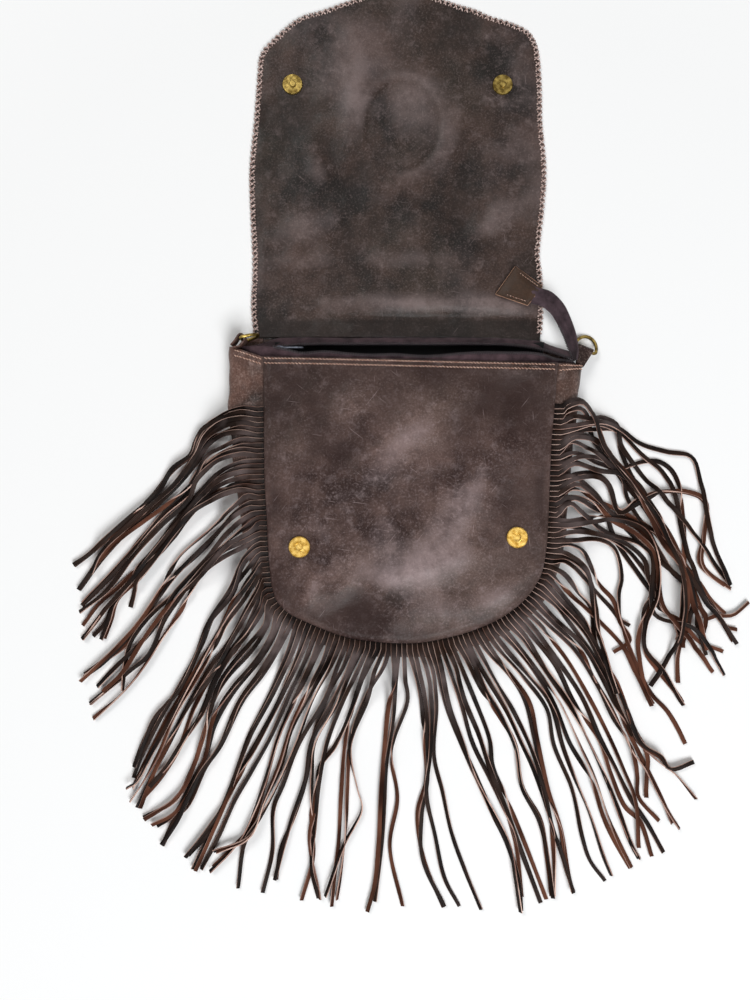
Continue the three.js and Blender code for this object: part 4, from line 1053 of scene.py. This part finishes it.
def mouth_stitches():
    """Two rows along the mouth, carried on over both ends of the gusset."""
    pieces = Pieces()
    random = np.random.default_rng(4)
    top = at_shares(smooth_curve(PANEL_TOP), np.linspace(0.004, 0.996, 120))
    grid = gusset_grid()
    lifted = grid - grid_normals(grid) * (LEATHER / 2 + 0.15)
    lifted = np.where(lifted[..., 2:] > grid[..., 2:], lifted, 2 * grid - lifted)
    for inset in STITCH_INSETS:
        xy = top - [0, inset]
        roll = 1 - np.clip(inset / EDGE_ROLL, 0, 1)
        z = PANEL_Z - EDGE_DROP * (1 - math.sqrt(1 - roll**2)) * 0.55
        z = z + panel_height(xy[:, 0], xy[:, 1]) * (1 - roll) + 0.15
        stitches_along(pieces, np.column_stack([xy, z]), STITCH_PITCH, *MOUTH_STITCH, random)
        step = inset / 2.4
        low, share = int(step), step - int(step)
        for near, far in ((lifted[low], lifted[low + 1]), (lifted[-1 - low], lifted[-2 - low])):
            row = near * (1 - share) + far * share
            stitches_along(pieces, row[2:14], STITCH_PITCH, *MOUTH_STITCH, random)
    made = pieces.build("mouth_stitches")
    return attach(dress(made, "copper_thread"), "bag")


# ---- Zip ------------------------------------------------------------------------------

FRONT_COIL = [
    (-146, 132.4, 17), (-130, 132.4, 20.5), (-119, 131.2, 23), (-106, 128.2, 25), (-92, 125, 26),
    (-72, 126, 26.6), (-51, 124.2, 26.2), (-34, 123.2, 26.6), (-13, 123.7, 26.2), (8, 122.2, 26.4),
    (24, 122.6, 26.6), (38, 124, 26.2), (59, 125.2, 26.5), (81, 125.1, 26.4), (102, 125, 25.6),
    (114, 123.6, 23.4), (126, 120.4, 20), (141, 119.2, 17),
]
REAR_COIL = [
    (-139, 128.6, 17.2), (-126, 130.6, 15), (-116, 132.2, 12.8), (-106, 133.6, 12.2), (-80, 135.2, 12),
    (0, 135.4, 12), (60, 135.2, 12), (90, 134.2, 12), (113, 130.5, 12.2), (127, 126.5, 13), (142, 120.9, 15.5),
]
FRONT_SEWN = [
    (-137, 121.5, 16), (-124, 117, 21), (-105, 113, 25), (-80, 111, 25.9), (0, 110.5, 26), (60, 110, 26),
    (96, 109.5, 25.8), (112, 108, 24), (124, 108, 20), (137, 110, 15.5),
]
REAR_SEWN = [
    (-137, 133.4, 13), (-127, 136.8, 7), (-115, 141.4, 5), (-106, 142, 4.6), (-80, 142.3, 4), (0, 142.2, 4),
    (60, 142, 4), (90, 141.5, 4), (113, 139, 4.4), (124, 134.5, 6), (141, 129, 8),
]


def zip_tape(name, node_name, sewn, coil, seed):
    shares = np.linspace(0, 1, 170)
    low, high = at_shares(smooth_curve(sewn), shares), at_shares(smooth_curve(coil), shares)
    rows = []
    for k in np.linspace(0, 1, 9):
        row = low * (1 - k) + high * k
        row[:, 2] += 0.5 * math.sin(math.pi * k) * rumple(row[:, 0], row[:, 1] + 40 * k, 14, seed)
        rows.append(row)
    made = thickened(name, np.array(rows), 0.6)
    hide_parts(node_name)
    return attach(dress(made, "zip_cloth"), "bag")


def wound_coil(name, line, swing, radius, phase=0):
    """A nylon thread wound round a line; swing is how far it goes out in x, y and z."""
    turns = travel(line)[-1] / COIL_PITCH
    count = int(turns * 10)
    centre = at_shares(line, np.linspace(0, 1, count))
    turn = np.linspace(0, turns * 2 * math.pi, count) + phase
    winding = centre + np.stack([swing[0] * np.cos(turn), swing[1] * np.cos(turn), swing[2] * np.sin(turn)], -1)
    pieces = Pieces()
    pieces.add(*tube_parts(winding, radius, 5))
    return dress(pieces.build(name), "coil_nylon")


def zip_coil(name, node_name, route, phase):
    """The coil along a tape's edge, from the slider's stop on."""
    line = smooth_curve(route)
    made = wound_coil(name, line[line[:, 0] > ZIP_STOP_X], (0, 1.25, 0.85), 0.36, phase)
    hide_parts(node_name)
    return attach(made, "bag")


TAIL_ROUTE = [
    (142.6, 120.4, 17), (141.8, 126, 19.5), (139.6, 132.3, 21), (137, 141, 21.4), (133.5, 149.8, 21),
    (130, 158, 19.4), (125.9, 165.4, 17.5), (118, 173.6, 14.6), (109, 177, 12.2), (101, 181.5, 10.4),
]
TAIL_TURN = [6, 17, 27, 35, 43, 50, 56, 74, 88, 90]


def ribbon_grid(route, turns, halves, steps, columns):
    line = smooth_curve(route)
    shares = np.linspace(0, 1, steps)
    centre = at_shares(line, shares)
    keys = travel(np.asarray(route, float)) / travel(np.asarray(route, float))[-1]
    turn = np.radians(np.interp(shares, keys, turns))
    half = np.interp(shares, keys, halves)
    along = np.gradient(centre, axis=0)
    level = np.stack([along[:, 1], -along[:, 0], np.zeros(steps)], -1)
    level /= np.linalg.norm(level, axis=1, keepdims=True)
    side = level * np.sin(turn)[:, None] + np.array([0, 0, 1.0]) * np.cos(turn)[:, None]
    across = np.linspace(-1, 1, columns)
    return centre[:, None] + side[:, None] * (half[:, None] * across[None])[..., None]


def tail_bend(obj):
    """Bakes the transform of a piece of the zip's loose end into its mesh."""
    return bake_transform(obj)


def zip_tail():
    """Both tapes lying on each other, with lengthwise pleats, and the coil along one edge."""
    halves = [4.2, 5.4, 6.2, 6.5, 6.6, 6.8, 7, 7.2, 7.2, 7.2]
    grid = ribbon_grid(TAIL_ROUTE, TAIL_TURN, halves, 70, 17)
    pleat = np.sin(np.linspace(0, 1, 17)[None] * 15 + np.linspace(0, 5, 70)[:, None])
    grid = grid + grid_normals(grid) * (0.45 * pleat * np.linspace(0.3, 1, 70)[:, None])[..., None]
    made = thickened("zip_tail_tape", grid, TAIL_THICKNESS, 60)
    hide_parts("zip_tail")
    tail_bend(dress(made, "tail_cloth"))
    edge = grid[:30, 1] + grid_normals(grid)[:30, 1] * 0.6
    tail_bend(wound_coil("zip_tail_coil", edge, (1.1, 0.3, 0.8), 0.34))
    return made


TAB_CORNERS = [(92.4, 203.7), (115, 185.1), (102.2, 168.8), (75.3, 179.6)]


def end_tab():
    """The zip's leather end: two layers over the tape."""
    a, b, c, d = [np.array(p) for p in TAB_CORNERS]
    across, up = crowded(34, 0.25), crowded(34, 0.25)
    xy = patch(np.array([d, c]), np.array([c, b]), np.array([a, b]), np.array([d, a]), across, up)
    rim = np.array([a, b, c, d, a])
    inside = edge_distance(xy, rim)
    from_tip = np.linspace(0, 1, 34)[None, :] * np.ones((34, 1))
    middle = TAB_TIP_Z + (TAB_ROOT_Z - TAB_TIP_Z) * from_tip
    thick = 1.45 + 1.1 * np.clip((inside - 3) / 4, 0, 1) * np.clip(from_tip * 1.6, 0, 1)
    ripple = 0.25 * rumple(xy[..., 0], xy[..., 1], 8, 41)
    thick = thick - 0.35 * (1 - np.clip(inside / 0.8, 0, 1))
    upper, lower = middle + thick + ripple, middle - thick + ripple
    made = shell("zip_end_leather", np.dstack([xy, upper]), np.dstack([xy, lower]), 50)
    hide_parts("zip_end_tab")
    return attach(dress(made, "tab_leather"), "flap")


def end_tab_stitches():
    """A row near each of the three edges that don't face the tape."""
    a, b, c, d = [np.array(p) for p in TAB_CORNERS]
    centre = (a + b + c + d) / 4
    tip_z, root_z = TAB_TIP_Z + TAB_STITCH_LIFT, TAB_ROOT_Z + TAB_STITCH_LIFT
    heights = (root_z, tip_z, tip_z, root_z)
    line = [(*(p + (centre - p) * 0.2), z) for p, z in zip((b, a, d, c), heights)]
    pieces = Pieces()
    random = np.random.default_rng(9)
    for start, end in zip(line[:-1], line[1:]):
        stitches_along(pieces, np.array([start, end], float), 2.6, *TAB_STITCH, random)
    thread = pieces.build("zip_end_stitches")
    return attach(dress(thread, "copper_thread"), "flap")


def end_tab_edge():
    """The pale cut edge round the end tab."""
    a, b, c, d = TAB_CORNERS
    tip, root = TAB_TIP_Z, TAB_ROOT_Z
    rim = np.array([[*a, tip], [*b, root], [*c, root], [*d, tip], [*a, tip]])
    edge = at_shares(rim, np.linspace(0, 1, 120))
    pieces = Pieces()
    pieces.add(*tube_parts(edge + [0, 0, 0.3], 0.55, 6))
    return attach(dress(pieces.build("zip_end_raw_edge"), "raw_edge"), "flap")


# ---- Rings' straps and metal ---------------------------------------------------------

def strap_loop(name, node_name, root, bar, axis, width=14, taper=1.0, wrap=2.6, belly=1.9):
    """A strip of leather from the gusset round the ring's bar and back, narrower at its root."""
    root, bar, axis = np.array(root, float), np.array(bar, float), np.array(axis, float)
    axis /= np.linalg.norm(axis)
    reach = bar - root
    reach -= axis * (reach @ axis)
    reach /= np.linalg.norm(reach)
    lift = np.cross(reach, axis)
    path = [root + lift * 1.1, (root + bar) / 2 + lift * belly]
    for turn in (80, 40, 0, -40, -80):
        a = math.radians(turn)
        path.append(bar + wrap * (reach * math.cos(a) + lift * math.sin(a)))
    path += [(root + bar) / 2 - lift * 1.9, root - lift * 1.1]
    line = at_shares(smooth_curve(path, 6), np.linspace(0, 1, 40))
    across = np.linspace(-width / 2, width / 2, 10)
    share = np.clip(((line - root) @ reach) / ((bar - root) @ reach), 0, 1)
    narrow = taper + (1 - taper) * share
    grid = line[:, None] + (narrow[:, None] * across)[..., None] * axis
    made = thickened(name, grid, 1.3, 50)
    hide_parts(node_name)
    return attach(dress(made, "gusset_leather"), "bag")


def paint_metal():
    for part in frame["record"]["subparts"]:
        obj = frame["nodes"][part["node"]]
        if part["material_slot"] in MATERIALS:
            obj.data.materials.clear()
            obj.data.materials.append(MATERIALS[part["material_slot"]])


# ---- Camera, light and ground ----------------------------------------------------------

# The camera, the lamps and the reach of the white are in metres
CAMERA_PLACE = (-0.030, 0, 0.800)
CAMERA_LENS = 32.73
GLOW = 0.17
WHITE_FROM, WHITE_TO = 0.45, 0.95


def aimed(obj, place, target):
    obj.location = place
    away = np.array(place, float) - np.array(target, float)
    flat = math.hypot(away[0], away[1])
    obj.rotation_euler = (math.atan2(flat, away[2]), 0, math.atan2(away[0], -away[1]))


def soft_light(name, place, target, size, power, tone):
    data = bpy.data.lights.new(name, "AREA")
    data.size = size
    data.energy = power
    data.color = tone
    obj = bpy.data.objects.new(name, data)
    bpy.context.scene.collection.objects.link(obj)
    aimed(obj, place, target)


def studio():
    scene = bpy.context.scene
    camera = bpy.data.objects.new("camera", bpy.data.cameras.new("camera"))
    camera.data.lens = CAMERA_LENS
    camera.data.sensor_width = 36
    camera.location = CAMERA_PLACE
    scene.collection.objects.link(camera)
    scene.camera = camera
    soft_light("window", (1.2, -2.4, 3.7), (0, 0, 0), 2.4, 172, (0.97, 0.985, 1.0))
    soft_light("far_window", (-1.6, 2.0, 3.2), (0, 0.1, 0), 1.6, 52, (1.0, 0.99, 0.97))
    world = bpy.data.worlds.new("studio")
    world.use_nodes = True
    tree = world.node_tree
    tree.nodes.clear()
    glow = node(tree, "Background", {"Color": (0.97, 0.98, 1, 1), "Strength": GLOW})
    white = node(tree, "Background", {"Color": (1, 1, 1, 1), "Strength": 1})
    blend = node(tree, "MixShader", {0: shown(tree), 1: glow.outputs[0], 2: white.outputs[0]})
    out = node(tree, "OutputWorld")
    tree.links.new(blend.outputs[0], out.inputs["Surface"])
    scene.world = world
    scene.view_settings.view_transform = "Standard"
    ground()


def shown(tree):
    """1 for the rays that show the backdrop itself: seen straight, mirrored or through glass."""
    rays = node(tree, "LightPath").outputs
    mirrored = product(tree, rays["Is Glossy Ray"], rays["Is Transmission Ray"], "MAXIMUM")
    return product(tree, rays["Is Camera Ray"], mirrored, "MAXIMUM")


def ground():
    """A pale floor that keeps the shadows near the bag and fades to white further off."""
    side = FLOOR_HALF_SIDE
    corners = [(-side, -side, 0), (side, -side, 0), (side, side, 0), (-side, side, 0)]
    floor = mesh_object("floor", corners, [(0, 1, 2, 3)])
    made, tree, surface = new_material("pale_ground")
    surface.inputs["Base Color"].default_value = (0.97, 0.97, 0.965, 1)
    surface.inputs["Roughness"].default_value = 0.9
    surface.inputs["Specular IOR Level"].default_value = 0.1
    place = node(tree, "TexCoord").outputs["Object"]
    reach = node(tree, "VectorMath", {0: place}, operation="LENGTH").outputs["Value"]
    white = node(tree, "Emission", {"Color": (1, 1, 1, 1), "Strength": 1})
    far = product(tree, ranged(tree, reach, WHITE_FROM, WHITE_TO), shown(tree))
    blend = node(tree, "MixShader", {0: far, 1: surface.outputs[0], 2: white.outputs[0]})
    tree.links.new(blend.outputs[0], tree.nodes["Material Output"].inputs["Surface"])
    floor.data.materials.append(made)
    return floor


studio()
paint_metal()
back_panel()
lining()
front_panel()
gusset()
flap()
whip_stitch()
fringe()
mouth_stitches()
zip_tape("zip_tape_front_cloth", "zip_tape_front", FRONT_SEWN, FRONT_COIL, 31)
zip_tape("zip_tape_rear_cloth", "zip_tape_rear", REAR_SEWN, REAR_COIL, 32)
zip_coil("zip_coil_front_wound", "zip_coil_front", FRONT_COIL, 0)
zip_coil("zip_coil_rear_wound", "zip_coil_rear", REAR_COIL, 2)
zip_tail()
end_tab()
end_tab_stitches()
end_tab_edge()
strap_loop(
    "ring_loop_left", "strap_loop_left",
    root=(-152.4, 131.5, 17.5), bar=(-144.6, 138.4, 17.5), axis=(0, 0, 1), wrap=3.4, belly=4.2,
)
strap_loop(
    "ring_loop_right", "strap_loop_right",
    root=(147.0, 116.6, 15.0), bar=(152.9, 130.6, 7.8), axis=(0.93, -0.37, 0), taper=0.5,
)
